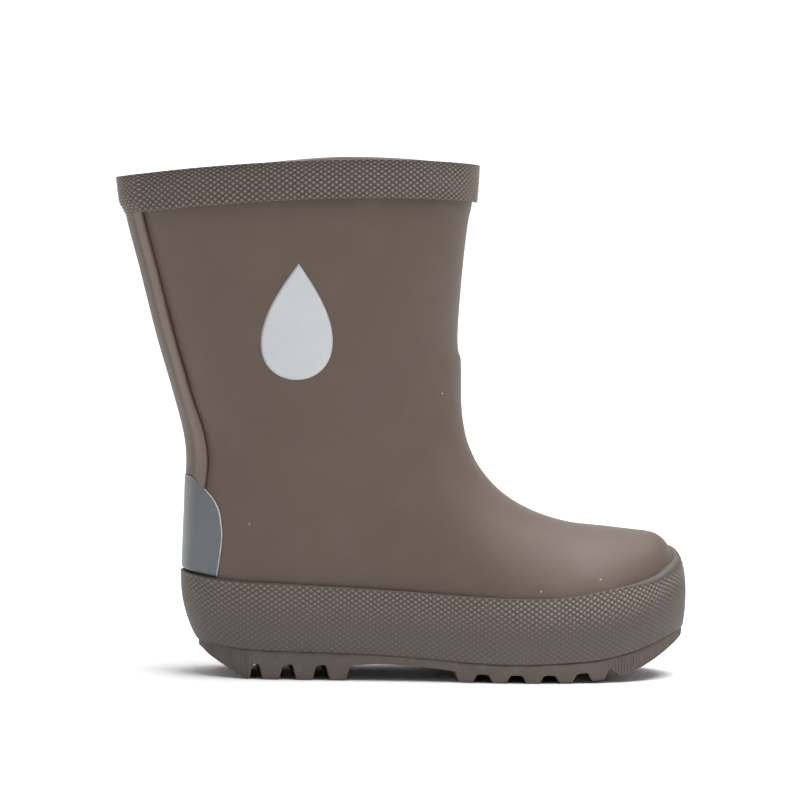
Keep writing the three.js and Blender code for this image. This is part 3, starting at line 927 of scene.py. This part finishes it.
@dataclass
class Sock:
    """A hollow wall that follows the last: the rubber upper, or the lining inside it."""

    name: str
    outside: float
    inside: float
    rim_drop: float
    cut_curve: tuple
    cut_raise: float
    columns: int = 176
    row_step: float = 0.1
    relief: bool = False
    rim_radius: float = 0.45

    def moulding(self, grid: np.ndarray) -> np.ndarray:
        """Small swellings and hollows of the outside, in millimetres.

        Args:
            grid: points of the outside.

        Returns:
            Distance outwards for each point.
        """
        x, y, z = grid[..., 0], grid[..., 1], grid[..., 2]
        front = smooth_step(x, 70, 94)
        roll = smooth_step(-z, -107.5, -104) * (1 - smooth_step(-z, -104, -78)) * front
        over_lining = smooth_step(-z, -73.5, -71.5) * smooth_step(-x, -62, -40) * smooth_step(x, 10, 24)
        slow = np.sin(x / 17 + 1.3) * np.sin(z / 21 + 0.4)
        quick = np.sin(z / 9.5 - x / 31 + y / 26)
        off_strip = (np.abs(y) - STRIP_HALF * strip_spread(z) - 1.3) / 1.3
        beside_strip = np.exp(-(off_strip**2)) * smooth_step(-x, -45, -35) * smooth_step(z, 60, 66)
        return 0.75 * roll + 0.16 * over_lining + 0.09 * (slow + 0.6 * quick) - 0.3 * beside_strip

    def build(self) -> bpy.types.Object:
        """Makes the wall, open at the collar and underneath.

        Returns:
            The piece.
        """
        grid = LAST.rings(shell_places(30, self.row_step), self.columns)
        normal = normals_of(grid)
        if self.relief:
            grid = grid + normal * self.moulding(grid)[..., None]
        outer = grid + normal * self.outside
        inner = (grid + normal * self.inside)[::-3]
        thick = self.outside - self.inside
        up = grid[-1] - grid[-2]
        up /= np.linalg.norm(up, axis=1, keepdims=True)
        turn = np.linspace(0, math.pi, 11)[:, None, None]
        swing = np.sign(np.cos(turn)) * np.abs(np.cos(turn)) ** 0.45
        rise = (np.abs(np.sin(turn)) ** 0.6 - 1) * self.rim_radius - self.rim_drop
        middle = (outer[-1] + grid[-1] + normal[-1] * self.inside) / 2
        rim = middle + normal[-1] * swing * thick / 2 + up * rise
        tip = np.array([TOE_X, STATIONS[0][5], TOE_Z])
        front = np.repeat((tip + [self.outside, 0, 0])[None, None], self.columns, 1)
        back = np.repeat((tip + [self.inside, 0, 0])[None, None], self.columns, 1)
        points = np.concatenate([front, outer[:-1], rim, inner[1:], back])
        across = arc_lengths(grid[-40])[None, :].repeat(len(points), 0)
        run = np.linalg.norm(np.diff(points, axis=0), axis=2).mean(1)
        along = np.concatenate([[0.0], np.cumsum(run)])[:, None].repeat(self.columns, 1)
        bm = bend_grid(points, np.stack([across, along], axis=2), wrap_columns=True)
        cut_below(bm, self.cut_curve, self.cut_raise)
        close_up(bm)
        return link(self.name, bm)


def knurl(across: np.ndarray, up: np.ndarray) -> np.ndarray:
    """Height of a staggered diamond knurl, from 0 in its grooves to 1 on its peaks.

    Args:
        across: place along the pattern, in repeats.
        up: place up the pattern, in repeats.

    Returns:
        The height.
    """
    def fold(value: np.ndarray) -> np.ndarray:
        """Distance to the nearest whole repeat."""
        return np.abs(value - np.round(value))

    return np.abs(1 - 2 * fold(across) - 2 * fold(up))


@dataclass
class KnurledWall:
    """A closed ring of rubber with a knurled outside: a profile swept round a base sheet."""

    name: str
    repeat: float = 2.45
    deep: float = 0.8
    steps_across: int = 6
    steps_up: int = 6
    # How much the knurl's relief, and its painted highlight and shade, fade low down.
    low_fade: float = 0.0

    def sweep(self, base: np.ndarray, normal: np.ndarray, tall: np.ndarray, thick: np.ndarray,
              repeats: tuple[int, int], edge: np.ndarray, foot_round: float,
              inner: float) -> bmesh.types.BMesh:
        """Makes the ring.

        Args:
            base: points of the surface behind the ring, shaped (rows, columns, 3).
            normal: its normals.
            tall: height of the wall at each column, in millimetres.
            thick: distance of the outer face from the base, shaped (rows, columns).
            repeats: how many diamonds go round and up.
            edge: radius of the upper edge at each column, bare of diamonds.
            foot_round: radius of the lower edge.
            inner: distance of the hidden face from the base.

        Returns:
            The closed mesh.
        """
        rows, columns = base.shape[:2]
        part = np.linspace(0, 1, rows)[:, None]
        above = part * tall[None, :]
        below = tall[None, :] - above
        pattern = knurl(np.arange(columns)[None, :] / columns * repeats[0], part * repeats[1])
        # Fades the relief low down, and through raised the painted highlight and shade, leaving the darker
        # groove tone.
        wear_and_painted_light = self.low_fade * (1 - smooth_step(part, 0.35, 0.85))
        weight = smooth_step(below / edge, 0.5, 1.6) * (1 - wear_and_painted_light)
        face = thick + self.deep * (pattern - 0.7) * weight
        face = face - round_off(below, edge) - round_off(above, foot_round)
        outer = base + normal * face[..., None]
        inwards = np.linspace(1, 0, 5)[1:, None, None]
        outwards = np.linspace(0, 1, 4)[1:-1, None, None]
        land = base[-1] + normal[-1] * (inner + (face[-1][:, None] - inner) * inwards)
        hidden_rows = np.linspace(rows - 1, 0, 5).astype(int)[1:]
        hidden = base[hidden_rows] + normal[hidden_rows] * inner
        foot = base[0] + normal[0] * (inner + (face[0][:, None] - inner) * outwards)
        points = np.concatenate([outer, land, hidden, foot])
        u = np.arange(columns) * (self.repeat / self.steps_across)
        v = np.concatenate([part[:, 0] * repeats[1], np.full(len(points) - rows, repeats[1] + 0.25)])
        spread = np.stack(np.meshgrid(u, v * self.repeat * 0.7), axis=2)
        raised = np.concatenate([weight, np.zeros((len(points) - rows, columns))])
        bm = bend_grid(points, spread, wrap_rows=True, wrap_columns=True, raised=raised)
        close_up(bm)
        return bm


@dataclass
class Foxing(KnurledWall):
    """The knurled wall round the join of upper and sole."""

    name: str = "knurled_foxing"
    thickness: float = 1.9
    bulge: float = 0.45
    diamonds_up: int = 13
    low_fade: float = 0.7

    def build(self) -> bpy.types.Object:
        """Makes the foxing.

        Returns:
            The piece.
        """
        coarse = WALL_OF_FOOT.even_turns(SOLE_TOP, FOXING_TOP, 320)
        low = tuple((x, z + GAP) for x, z in SOLE_TOP)
        parts = np.linspace(0, 1, 13)
        sheet = WALL_OF_FOOT.sheet(coarse, low, FOXING_TOP, parts)
        round_length = arc_lengths(np.concatenate([sheet[6], sheet[6][:1]]))[-1]
        around = round(round_length / self.repeat)
        columns = around * self.steps_across
        rows = self.diamonds_up * self.steps_up + 1
        normal = normals_of(sheet)
        across = np.arange(columns) / columns * len(coarse)
        up = np.linspace(0, len(parts) - 1, rows)

        def finer(table: np.ndarray) -> np.ndarray:
            """The sheet's values at every point of the fine grid."""
            wide = catmull(np.swapaxes(table, 0, 1), across, wrap=True)
            return catmull(np.swapaxes(wide, 0, 1), up)

        base = finer(sheet)
        facing = finer(normal)
        facing /= np.linalg.norm(facing, axis=2, keepdims=True)
        tall = np.linalg.norm(np.diff(base, axis=0), axis=2).sum(0)
        part = np.linspace(0, 1, rows)[:, None]
        thick = np.repeat(GAP + self.thickness + self.bulge * np.sin(math.pi * part), columns, 1)
        edge = 0.5 + 2.1 * smooth_step(base[-1, :, 0], 142, 167)
        bm = self.sweep(base, facing, tall, thick, (around, self.diamonds_up), edge, 0.45, 0.12)
        return link(self.name, bm)


@dataclass
class CollarBand(KnurledWall):
    """The knurled band round the collar, prouder where it covers the back strip."""

    name: str = "collar_band"
    thickness: float = 1.5
    over_strip: float = 1.3
    diamonds_up: int = 8
    deep: float = 0.95

    def build(self) -> bpy.types.Object:
        """Makes the band.

        Returns:
            The piece.
        """
        rim = LAST.ring(RIM, 400)
        around = round(arc_lengths(np.concatenate([rim, rim[:1]]))[-1] / self.repeat)
        columns = around * self.steps_across
        rows = self.diamonds_up * self.steps_up + 1
        base = LAST.rings(BAND_FROM + np.linspace(0, 1, rows), columns + columns % 2)[:, :columns]
        facing = normals_of(base)
        tall = np.linalg.norm(np.diff(base, axis=0), axis=2).sum(0)
        y, x = base[..., 1], base[..., 0]
        beside = smooth_step(np.abs(y), STRIP_HALF + 0.2, STRIP_HALF + 2.6)
        part = np.linspace(0, 1, rows)[:, None]
        lean = 0.1 + 0.9 * smooth_step(part, 0.0, 0.3) + 0.5 * part
        swell = np.where(x < 40, self.over_strip * (1 - beside) * lean, 0.0)
        thick = GAP + self.thickness + swell
        edge = np.full(columns, 0.5)
        bm = self.sweep(base, facing, tall, thick, (around, self.diamonds_up), edge, 0.25, 0.1)
        return link(self.name, bm)


def pillow(name: str, base: np.ndarray, normal: np.ndarray, thick: np.ndarray, inner: float,
           spread: np.ndarray) -> bpy.types.Object:
    """A thin layer lying on a surface, closed all round its border.

    Args:
        name: the piece's name.
        base: points of the surface, shaped (rows, columns, 3).
        normal: its normals.
        thick: distance of the layer's face from the surface; its border is put at inner.
        inner: distance of the layer's underside.
        spread: pattern coordinates of the face.

    Returns:
        The piece.
    """
    face = thick.copy()
    face[[0, -1]] = inner
    face[:, [0, -1]] = inner
    over = base + normal * face[..., None]
    under = base + normal * inner
    points = np.concatenate([over, under[::-1]])
    bm = bend_grid(points, np.concatenate([spread, spread[::-1]]), wrap_rows=True)
    bmesh.ops.dissolve_degenerate(bm, dist=1e-7, edges=bm.edges)
    close_up(bm)
    return link(name, bm)


def open_normals(grid: np.ndarray) -> np.ndarray:
    """Normals of a sheet whose columns don't close, with +Z or the toe-to-collar way along its rows."""
    padded = np.concatenate([grid[:1], grid, grid[-1:]])
    along = padded[2:] - padded[:-2]
    side = np.concatenate([grid[:, :1], grid, grid[:, -1:]], axis=1)
    around = side[:, 2:] - side[:, :-2]
    normal = np.cross(around, along)
    return normal / np.maximum(np.linalg.norm(normal, axis=2, keepdims=True), 1e-12)


@dataclass
class BackStrip:
    """The flat strip down the back, with a raised middle."""

    name: str = "back_strip_rubber"
    half: float = STRIP_HALF
    flange: float = 1.0
    middle_half: float = 8.6
    middle_rise: float = 0.4
    low_end: float = 65.0
    clear: float = 0.12
    first_place: float = 12.9

    def build(self) -> bpy.types.Object:
        """Makes the strip.

        Returns:
            The piece.
        """
        border = 0.5 * (np.sin(np.linspace(-math.pi / 2, 0, 7)) * 0.5 + 0.5)
        middle = np.linspace(-self.half + 0.5, self.half - 0.5, 64)[1:-1]
        y = np.concatenate([-self.half + border, middle, self.half - border])
        y = np.unique(np.round(y, 4))
        places = np.linspace(self.first_place, BAND_FROM + 0.06, 170)
        rows = []
        for ring in LAST.rings(places, 400):
            back = np.concatenate([ring[-60:], ring[:61]])
            back = back[np.argsort(back[:, 1])]
            wide = y * strip_spread(np.interp(0.0, back[:, 1], back[:, 2]))
            rows.append(np.stack([np.interp(wide, back[:, 1], back[:, k]) for k in range(3)], axis=1))
        base = np.array(rows)[:, ::-1]
        edge_z, edge_x = np.array(PATCH_EDGE[2:])[::-1].T
        first = []
        for column in np.swapaxes(base, 0, 1):
            reach = np.interp(self.low_end - 2, column[:, 2], column[:, 0])
            low = min(np.interp(reach, edge_x, edge_z), self.low_end) + self.clear
            first.append(np.interp(low, column[:, 2], np.arange(len(base))))
        first = np.array(first)[None, :]
        index = first + (len(base) - 1 - first) * np.linspace(0, 1, len(base))[:, None]
        column = np.arange(len(y))[None, :].repeat(len(base), 0)
        floor_index = np.clip(np.floor(index).astype(int), 0, len(base) - 2)
        share = (index - floor_index)[..., None]
        base = base[floor_index, column] * (1 - share) + base[floor_index + 1, column] * share
        normal = open_normals(base)
        across = np.abs(base[..., 1]) / strip_spread(base[..., 2])
        rise = self.middle_rise * (1 - smooth_step(across, self.middle_half - 0.5, self.middle_half + 0.5))
        slope = 0.12 * smooth_step(across, 0, self.middle_half)
        thick = GAP + self.flange + rise - slope * (across < self.middle_half)
        thick = thick - round_off(self.half - across, 0.4)
        spread = plain_spread(base)
        spread[..., 0] = base[..., 1] / strip_spread(base[..., 2])
        return pillow(self.name, base, normal, thick, 0.08, spread)


@dataclass
class HeelPatch:
    """The thin reflective patch round the back of the heel."""

    name: str = "heel_film"
    low: float = 31.8
    high: float = 65.0
    clear: float = 0.15
    thickness: float = 0.45
    border: float = 0.25
    swell: float = 1.3
    waist: float = 50.0

    def half_turn(self, z: float) -> float:
        """Turn from the back of the heel at which the patch ends, at a height.

        Args:
            z: the height.

        Returns:
            The turn round the foot, as FootWall counts it.
        """
        reach = float(heights(PATCH_EDGE, z))
        level = ((0, z), (200, z))
        near, far = 0.002, 0.12
        for _ in range(18):
            middle = (near + far) / 2
            if WALL_OF_FOOT.meet(middle, level, level, 0)[0] < reach:
                near = middle
            else:
                far = middle
        return near

    def build(self) -> bpy.types.Object:
        """Makes the patch.

        Returns:
            The piece.
        """
        part = np.sin(np.linspace(0, math.pi / 2, 60))
        sides = np.sin(np.linspace(-math.pi / 2, math.pi / 2, 91))
        marks = np.linspace(self.low, self.high, 40)
        halves = np.array([self.half_turn(float(z)) for z in marks])
        base = []
        for share in part:
            row = []
            for side in sides:
                z = self.low + (self.high - self.low) * share
                for _ in range(2):
                    level = ((0, z), (200, z))
                    point = WALL_OF_FOOT.meet(float(side * np.interp(z, marks, halves)), level, level, 0)
                    foot = float(heights(FOXING_TOP, point[0])) + self.clear
                    z = foot + (self.high - foot) * share
                row.append(point)
            base.append(row)
        base = np.array(base)
        normal = open_normals(base)
        length = np.linalg.norm(np.diff(base, axis=1), axis=2)
        run = np.concatenate([np.zeros((len(base), 1)), np.cumsum(length, axis=1)], axis=1)
        to_side = np.minimum(run, run[:, -1:] - run)
        to_top = self.high - base[..., 2]
        distance = np.minimum(to_side, to_top + 0.02)
        off_waist = (base[..., 2] - self.waist) / 15
        drape = np.minimum(0.37 + 0.5 * off_waist**2, 0.9)
        over_strip = (1 - smooth_step(np.abs(base[..., 1]), 9, 15)) * drape
        thick = GAP + self.thickness + self.swell * over_strip - 1.2 * round_off(distance, self.border)
        spread = np.stack([distance, base[..., 2]], axis=2)
        return pillow(self.name, base, normal, thick, 0.1, spread)


@dataclass
class Raindrop:
    """A plain reflective raindrop on the outer side of the shaft."""

    name: str = "raindrop_mark"
    centre: tuple[float, float] = (39.8, 116.5)
    tall: float = 38.0
    wide: float = 26.0
    thickness: float = 0.14

    def build(self) -> bpy.types.Object:
        """Makes the mark.

        Returns:
            The piece.
        """
        angle = np.linspace(0, 2 * math.pi, 145)[:-1]
        outline_x = self.wide / 2 * np.sin(angle) * np.sin(angle / 2) ** 1.1 * 1.19
        outline_z = self.tall / 2 * np.cos(angle)
        ring = np.linspace(0, 1, 15)
        cx, cz = self.centre
        middle_z = -self.tall * 0.16
        points = []
        for r in ring:
            row = []
            for px, pz in zip(outline_x, outline_z):
                x = cx + px * r
                z = cz + middle_z * (1 - r) + pz * r
                hit = WALL_OF_FOOT.tree.ray_cast(Vector((x, -90, z)), Vector((0, 1, 0)))
                row.append(np.array(hit[0]))
            points.append(row)
        base = np.array(points)
        facing = np.array([0.0, -1.0, 0.0])
        normal = np.broadcast_to(facing, base.shape)
        over = base + normal * (self.thickness + 0.12)
        over[-1] = base[-1] + facing * 0.02
        under = base + normal * 0.02
        spread = np.stack([base[..., 0], base[..., 2]], axis=2)
        points = np.concatenate([over, under[::-1]])
        bm = bend_grid(points, np.concatenate([spread, spread[::-1]]), wrap_columns=True)
        close_up(bm)
        return link(self.name, bm)


@dataclass
class Insole:
    """The cloth-covered insole, slightly cupped at the heel."""

    name: str = "knit_insole"
    thickness: float = 3.5
    inset: float = 2.9
    cup: float = 1.3

    def build(self) -> bpy.types.Object:
        """Makes the insole.

        Returns:
            The piece.
        """
        low = tuple((x, z + GAP + 1.6) for x, z in SOLE_TOP)
        turns = WALL_OF_FOOT.even_turns(low, low, 160)
        edge = WALL_OF_FOOT.sheet(turns, low, low, np.array([0.0, 1.0]))[0]
        tangent = np.roll(edge, -1, 0) - np.roll(edge, 1, 0)
        outward = np.stack([tangent[:, 1], -tangent[:, 0]], axis=1)
        outward /= np.linalg.norm(outward, axis=1, keepdims=True)
        edge = edge[:, :2] - outward * self.inset
        middle = np.array([88.0, 0.5])
        reach = 1 - (1 - np.linspace(0, 1, 30)) ** 1.6
        top, under = [], []
        for r in reach:
            plan = middle + (edge - middle) * r
            floor = heights(SOLE_TOP, plan[:, 0]) + GAP + 0.05
            heel = smooth_step(-plan[:, 0], -60, -20)
            rise = self.thickness + self.cup * heel * r**7 - 1.2 * smooth_step(np.array([r]), 0.965, 1.0)[0]
            top.append(np.column_stack([plan, floor + rise]))
            under.append(np.column_stack([plan, floor]))
        points = np.array(top + under[::-1])
        spread = points[..., :2]
        bm = bend_grid(points, spread, wrap_columns=True)
        close_up(bm)
        return link(self.name, bm)


@dataclass(frozen=True)
class LugRow:
    """A row of lugs across the sole, in the side view."""

    first: float
    pitch: float
    count: int
    floor_half: float
    base_half: float


@dataclass
class Outsole:
    """The moulded outsole: its side profile with lugs and arch, inside its plan outline."""

    name: str = "lugged_outsole"
    step: float = 0.25
    draft: float = 1.0
    height: float = 13.0
    corner: float = 0.7
    sipe_pitch: float = 1.15
    sipe_half: float = 0.17
    sipe_deep: float = 0.3
    stations: int = 1500
    heel: LugRow = LugRow(33.2, 10.85, 3, 2.6, 3.9)
    forefoot: LugRow = LugRow(96.3, 10.85, 5, 2.1, 3.6)

    def profile(self) -> np.ndarray:
        """The underside in the side view, its corners rounded.

        Returns:
            Points (x, z), heel to toe.
        """
        points = [(4.0, 9.8), (11.0, 9.2), (13.6, 6.9), (24.9, 0.0), (26.2, 0.0), (27.4, 5.0)]
        for row, floor in ((self.heel, False), (self.forefoot, True)):
            if floor:
                points += [(x, float(heights(TREAD_BASE, x))) for x in np.linspace(62, 88, 6)]
            for n in range(row.count):
                x = row.first + row.pitch * n
                for offset, curve in ((-row.base_half, TREAD_BASE), (-row.floor_half, LUG_FLOOR),
                                      (row.floor_half, LUG_FLOOR), (row.base_half, TREAD_BASE)):
                    points.append((x + offset, max(0.0, float(heights(curve, x + offset)))))
        points.append((144.0, float(heights(TREAD_BASE, 144.0))))
        points += [(x, float(heights(LUG_FLOOR, x))) for x in np.linspace(147.2, 175, 8)]
        return self.rounded(np.array(points))

    def rounded(self, line: np.ndarray) -> np.ndarray:
        """A side-view line with its corners turned into short arcs.

        Args:
            line: corner points.

        Returns:
            The line, in many points.
        """
        out = [line[0]]
        for before, here, after in zip(line, line[1:], line[2:]):
            back, ahead = before - here, after - here
            reach = min(self.corner, 0.45 * np.linalg.norm(back), 0.45 * np.linalg.norm(ahead))
            start = here + back / np.linalg.norm(back) * reach
            end = here + ahead / np.linalg.norm(ahead) * reach
            for t in np.linspace(0, 1, 7):
                out.append((1 - t) ** 2 * start + 2 * t * (1 - t) * here + t**2 * end)
        out.append(line[-1])
        return np.array(out)

    def outline(self) -> np.ndarray:
        """Plan outline where the foxing's foot meets the outsole, from the heel round the outer side."""
        turns = WALL_OF_FOOT.even_turns(SOLE_TOP, FOXING_TOP, 720)
        line = WALL_OF_FOOT.sheet(turns, SOLE_TOP, FOXING_TOP, np.array([0.0, 0.04]))
        facing = normals_of(line)[0]
        return (line[0] + facing * (GAP + Foxing.thickness - self.step))[:, :2]

    def at_ends(self, x: np.ndarray) -> np.ndarray:
        """1 at the heel's back and the toe, where the edge is finely grooved, and 0 between them."""
        return smooth_step(-x, -30, -24) + smooth_step(x, 139, 146)

    def build(self) -> bpy.types.Object:
        """Makes the outsole.

        Returns:
            The piece.
        """
        plan = self.outline()
        toe = int(np.argmax(plan[:, 0]))
        heel = int(np.argmin(plan[:, 0]))
        rolled = np.roll(plan, -heel, 0)
        toe = (toe - heel) % len(plan)
        outer, inner = rolled[:toe + 1], np.concatenate([rolled[toe:], rolled[:1]])[::-1]
        under = self.profile()
        low_x, high_x = outer[0, 0] + 0.02, outer[-1, 0] - 0.02
        fine = np.linspace(low_x, high_x, 24000)
        side = [np.interp(fine, line[:, 0], line[:, 1]) for line in (outer, inner)]
        bottom = np.interp(fine, under[:, 0], under[:, 1])
        walk = np.sqrt(np.gradient(fine) ** 2 + np.gradient(side[0]) ** 2 + np.gradient(bottom) ** 2)
        length = np.cumsum(walk * (1 + 1.6 * self.at_ends(fine)))
        x = np.interp(np.linspace(length[0], length[-1], self.stations), length, fine)
        left, right = (np.interp(x, fine, line) for line in side)
        z_low = np.interp(x, under[:, 0], under[:, 1])
        z_high = heights(SOLE_TOP, x)
        z_low = np.minimum(z_low, z_high - 0.8)
        width, tall = right - left, z_high - z_low
        edge = np.minimum(0.6, 0.4 * np.minimum(width, tall))
        lean = self.draft * tall / self.height
        walk_left = arc_lengths(np.column_stack([x, left]))
        walk_right = arc_lengths(np.column_stack([x, right]))
        ends = self.at_ends(x)

        def sipe(walked: np.ndarray) -> np.ndarray:
            """Depth of the fine grooves in the sole's edge at heel and toe."""
            place = walked / self.sipe_pitch
            off = np.abs(place - np.round(place)) * self.sipe_pitch
            return self.sipe_deep * np.exp(-((off / self.sipe_half) ** 2)) * ends

        cuts = [sipe(walk_left), sipe(walk_right)]
        rise = np.concatenate([np.linspace(1, 0, 8), np.zeros(5)])
        turn = np.concatenate([np.zeros(7), np.linspace(0, math.pi / 2, 6)])
        columns = []
        for sign, wall, cut in ((1, left, cuts[0]), (-1, right, cuts[1])):
            strip = []
            for part, angle in zip(rise, turn):
                inside = lean * (1 - part) + cut * (1 if part < 0.97 else 0)
                over = edge * (1 - math.cos(angle))
                drop = edge * (1 - math.sin(angle)) if part == 0 else 0
                top_round = 0.3 if part > 0.97 else 0.0
                strip.append(np.column_stack([
                    x, wall + sign * (inside + over + top_round),
                    np.where(part > 0, z_low + edge + (z_high - z_low - edge) * part, z_low + drop)]))
            columns.append(strip)
        flat = []
        for share in np.linspace(0, 1, 12)[1:-1]:
            flat.append(columns[0][-1] * (1 - share) + columns[1][-1] * share)
        roof = []
        for share in np.linspace(0, 1, 5)[1:-1]:
            roof.append(columns[1][0] * (1 - share) + columns[0][0] * share)
        ring = np.array(columns[0] + flat + columns[1][::-1] + roof)
        points = np.swapaxes(ring, 0, 1)
        closing = [np.repeat(points[i].mean(0)[None, None], points.shape[1], 1) for i in (0, -1)]
        points = np.concatenate([closing[0], points, closing[1]])
        spread = np.stack([points[..., 0], points[..., 1]], axis=2)
        bm = bend_grid(points, spread, wrap_columns=True)
        close_up(bm)
        return link(self.name, bm)


# ---- Stage --------------------------------------------------------------------------------


@dataclass
class Studio:
    """Pale floor, soft light and the camera."""

    target: tuple[float, float, float] = (76.0, 0.0, 90.4)
    distance: float = 1500.0
    azimuth: float = -5.0
    elevation: float = 2.5
    roll: float = 0.85
    lens: float = 204.5

    def camera(self) -> None:
        """Makes the camera, at the height of the boot's middle and a little behind its side."""
        a, e, r = (math.radians(v) for v in (self.azimuth, self.elevation, self.roll))
        back = Vector((math.sin(a) * math.cos(e), -math.cos(a) * math.cos(e), math.sin(e)))
        level = Vector((math.cos(a), math.sin(a), 0))
        above = back.cross(level)
        right = level * math.cos(r) + above * math.sin(r)
        up = above * math.cos(r) - level * math.sin(r)
        data = bpy.data.cameras.new("camera")
        data.lens = self.lens
        data.sensor_width = 36.0
        data.clip_end = 30.0
        camera = bpy.data.objects.new("camera", data)
        bpy.context.scene.collection.objects.link(camera)
        eye = Vector(to_frame(np.array(self.target))) + back * self.distance * MM
        turn = Matrix((right, up, back)).transposed().to_4x4()
        camera.matrix_world = Matrix.Translation(eye) @ turn
        bpy.context.scene.camera = camera

    def floor(self) -> None:
        """Makes a wide pale floor that curves up into a wall all round."""
        bm = bmesh.new()
        flat, bend, tall = 2.6, 1.2, 4.2
        profile = [(0.0, 0.0), (flat * 0.2, 0.0), (flat * 0.6, 0.0), (flat, 0.0)]
        for n in range(1, 13):
            angle = math.pi / 2 * n / 12
            profile.append((flat + bend * math.sin(angle), bend * (1 - math.cos(angle))))
        profile.append((flat + bend, tall))
        verts = [bm.verts.new((x, 0, z)) for x, z in profile]
        edges = [bm.edges.new(pair) for pair in zip(verts, verts[1:])]
        bmesh.ops.spin(bm, geom=[*verts, *edges], cent=(0, 0, 0), axis=(0, 0, 1), angle=2 * math.pi,
                       steps=96, use_merge=True)
        bmesh.ops.remove_doubles(bm, verts=bm.verts, dist=1e-5)
        bmesh.ops.recalc_face_normals(bm, faces=bm.faces)
        floor = link("studio_floor", bm)
        finish = Finish("pale_floor", roughness=0.9, specular=0.1)
        finish.shader.inputs["Base Color"].default_value = (0.9, 0.9, 0.9, 1)
        floor.data.materials.append(finish.material)

    def softbox(self, name: str, place: tuple, size: tuple, power: float, target: tuple) -> None:
        """Hangs an area light.

        Args:
            name: its name.
            place: where it hangs, in metres.
            size: its width and height, in metres.
            power: its power, in watts.
            target: what it faces.
        """
        data = bpy.data.lights.new(name, "AREA")
        data.shape = "RECTANGLE"
        data.size, data.size_y = size
        data.energy = power
        lamp = bpy.data.objects.new(name, data)
        lamp.location = place
        aim = Vector(target) - Vector(place)
        lamp.rotation_euler = aim.to_track_quat("-Z", "Y").to_euler()
        bpy.context.scene.collection.objects.link(lamp)

    def lights(self) -> None:
        """Makes the room's even light and the softboxes."""
        world = bpy.data.worlds.new("room")
        world.use_nodes = True
        background = world.node_tree.nodes["Background"]
        background.inputs["Color"].default_value = (1, 1, 1, 1)
        background.inputs["Strength"].default_value = 0.17
        bpy.context.scene.world = world
        boot = (0.0, 0.0, 0.08)
        self.softbox("top_box", (0.32, -0.14, 1.5), (1.6, 1.2), 43.0, boot)
        self.softbox("front_box", (1.1, -1.0, 0.9), (0.9, 0.9), 0.5, boot)
        self.softbox("heel_box", (-1.3, -0.4, 0.25), (0.6, 0.6), 1.2, boot)
        self.softbox("wall_wash", (0.0, 1.9, 2.4), (1.6, 0.5), 60.0, (0.0, 3.8, 0.2))
        bpy.context.scene.view_settings.view_transform = "Standard"

    def build(self) -> None:
        """Makes the whole stage."""
        self.camera()
        self.floor()
        self.lights()


def main() -> None:
    """Builds every piece in order."""
    logging.basicConfig(level=logging.INFO, format="%(name)s: %(message)s")
    Studio().build()
    foxing = Foxing()
    smooth = SmoothRubber().build()
    knurled = KnurledRubber(across=foxing.repeat, up=foxing.repeat * 0.7).build()
    # The collar band's knurl, with a stronger painted highlight on its peaks and painted shade in its
    # grooves.
    crisp = KnurledRubber(foxing.repeat, foxing.repeat * 0.7, "crisp_knurled_rubber", tone(55, 48, 43),
                          tone(140, 125, 115)).build()
    knit = Knit().build()
    film = ReflectiveFilm("reflective_film", tone(82, 87, 90), tone(124, 130, 132), 0.15).build()
    print_film = ReflectiveFilm("pale_print", tone(184, 188, 190), tone(212, 215, 217)).build()
    upper = Sock("rubber_upper", 0.0, -2.2, 0.0, SOLE_TOP, GAP, relief=True)
    lining = Sock("cotton_lining", -2.26, -2.95, 0.25, SOLE_TOP, GAP + 1.5, row_step=0.2)
    dress(Outsole().build(), SoleRubber().build(), "sole_rubber", "outsole")
    dress(Insole().build(), knit, "foam_cloth", "insole")
    dress(upper.build(), smooth, "shaft_rubber", "upper")
    dress(lining.build(), knit, "foam_cloth")
    dress(foxing.build(), knurled, "knurled_rubber", "foxing_band")
    dress(CollarBand().build(), crisp, "knurled_rubber", "top_band")
    dress(BackStrip().build(), StripRubber().build(), "shaft_rubber", "back_strip")
    dress(HeelPatch().build(), film, "reflective_patch", "heel_patch")
    dress(Raindrop().build(), print_film, "reflective_patch")


if __name__ == "__main__":
    main()
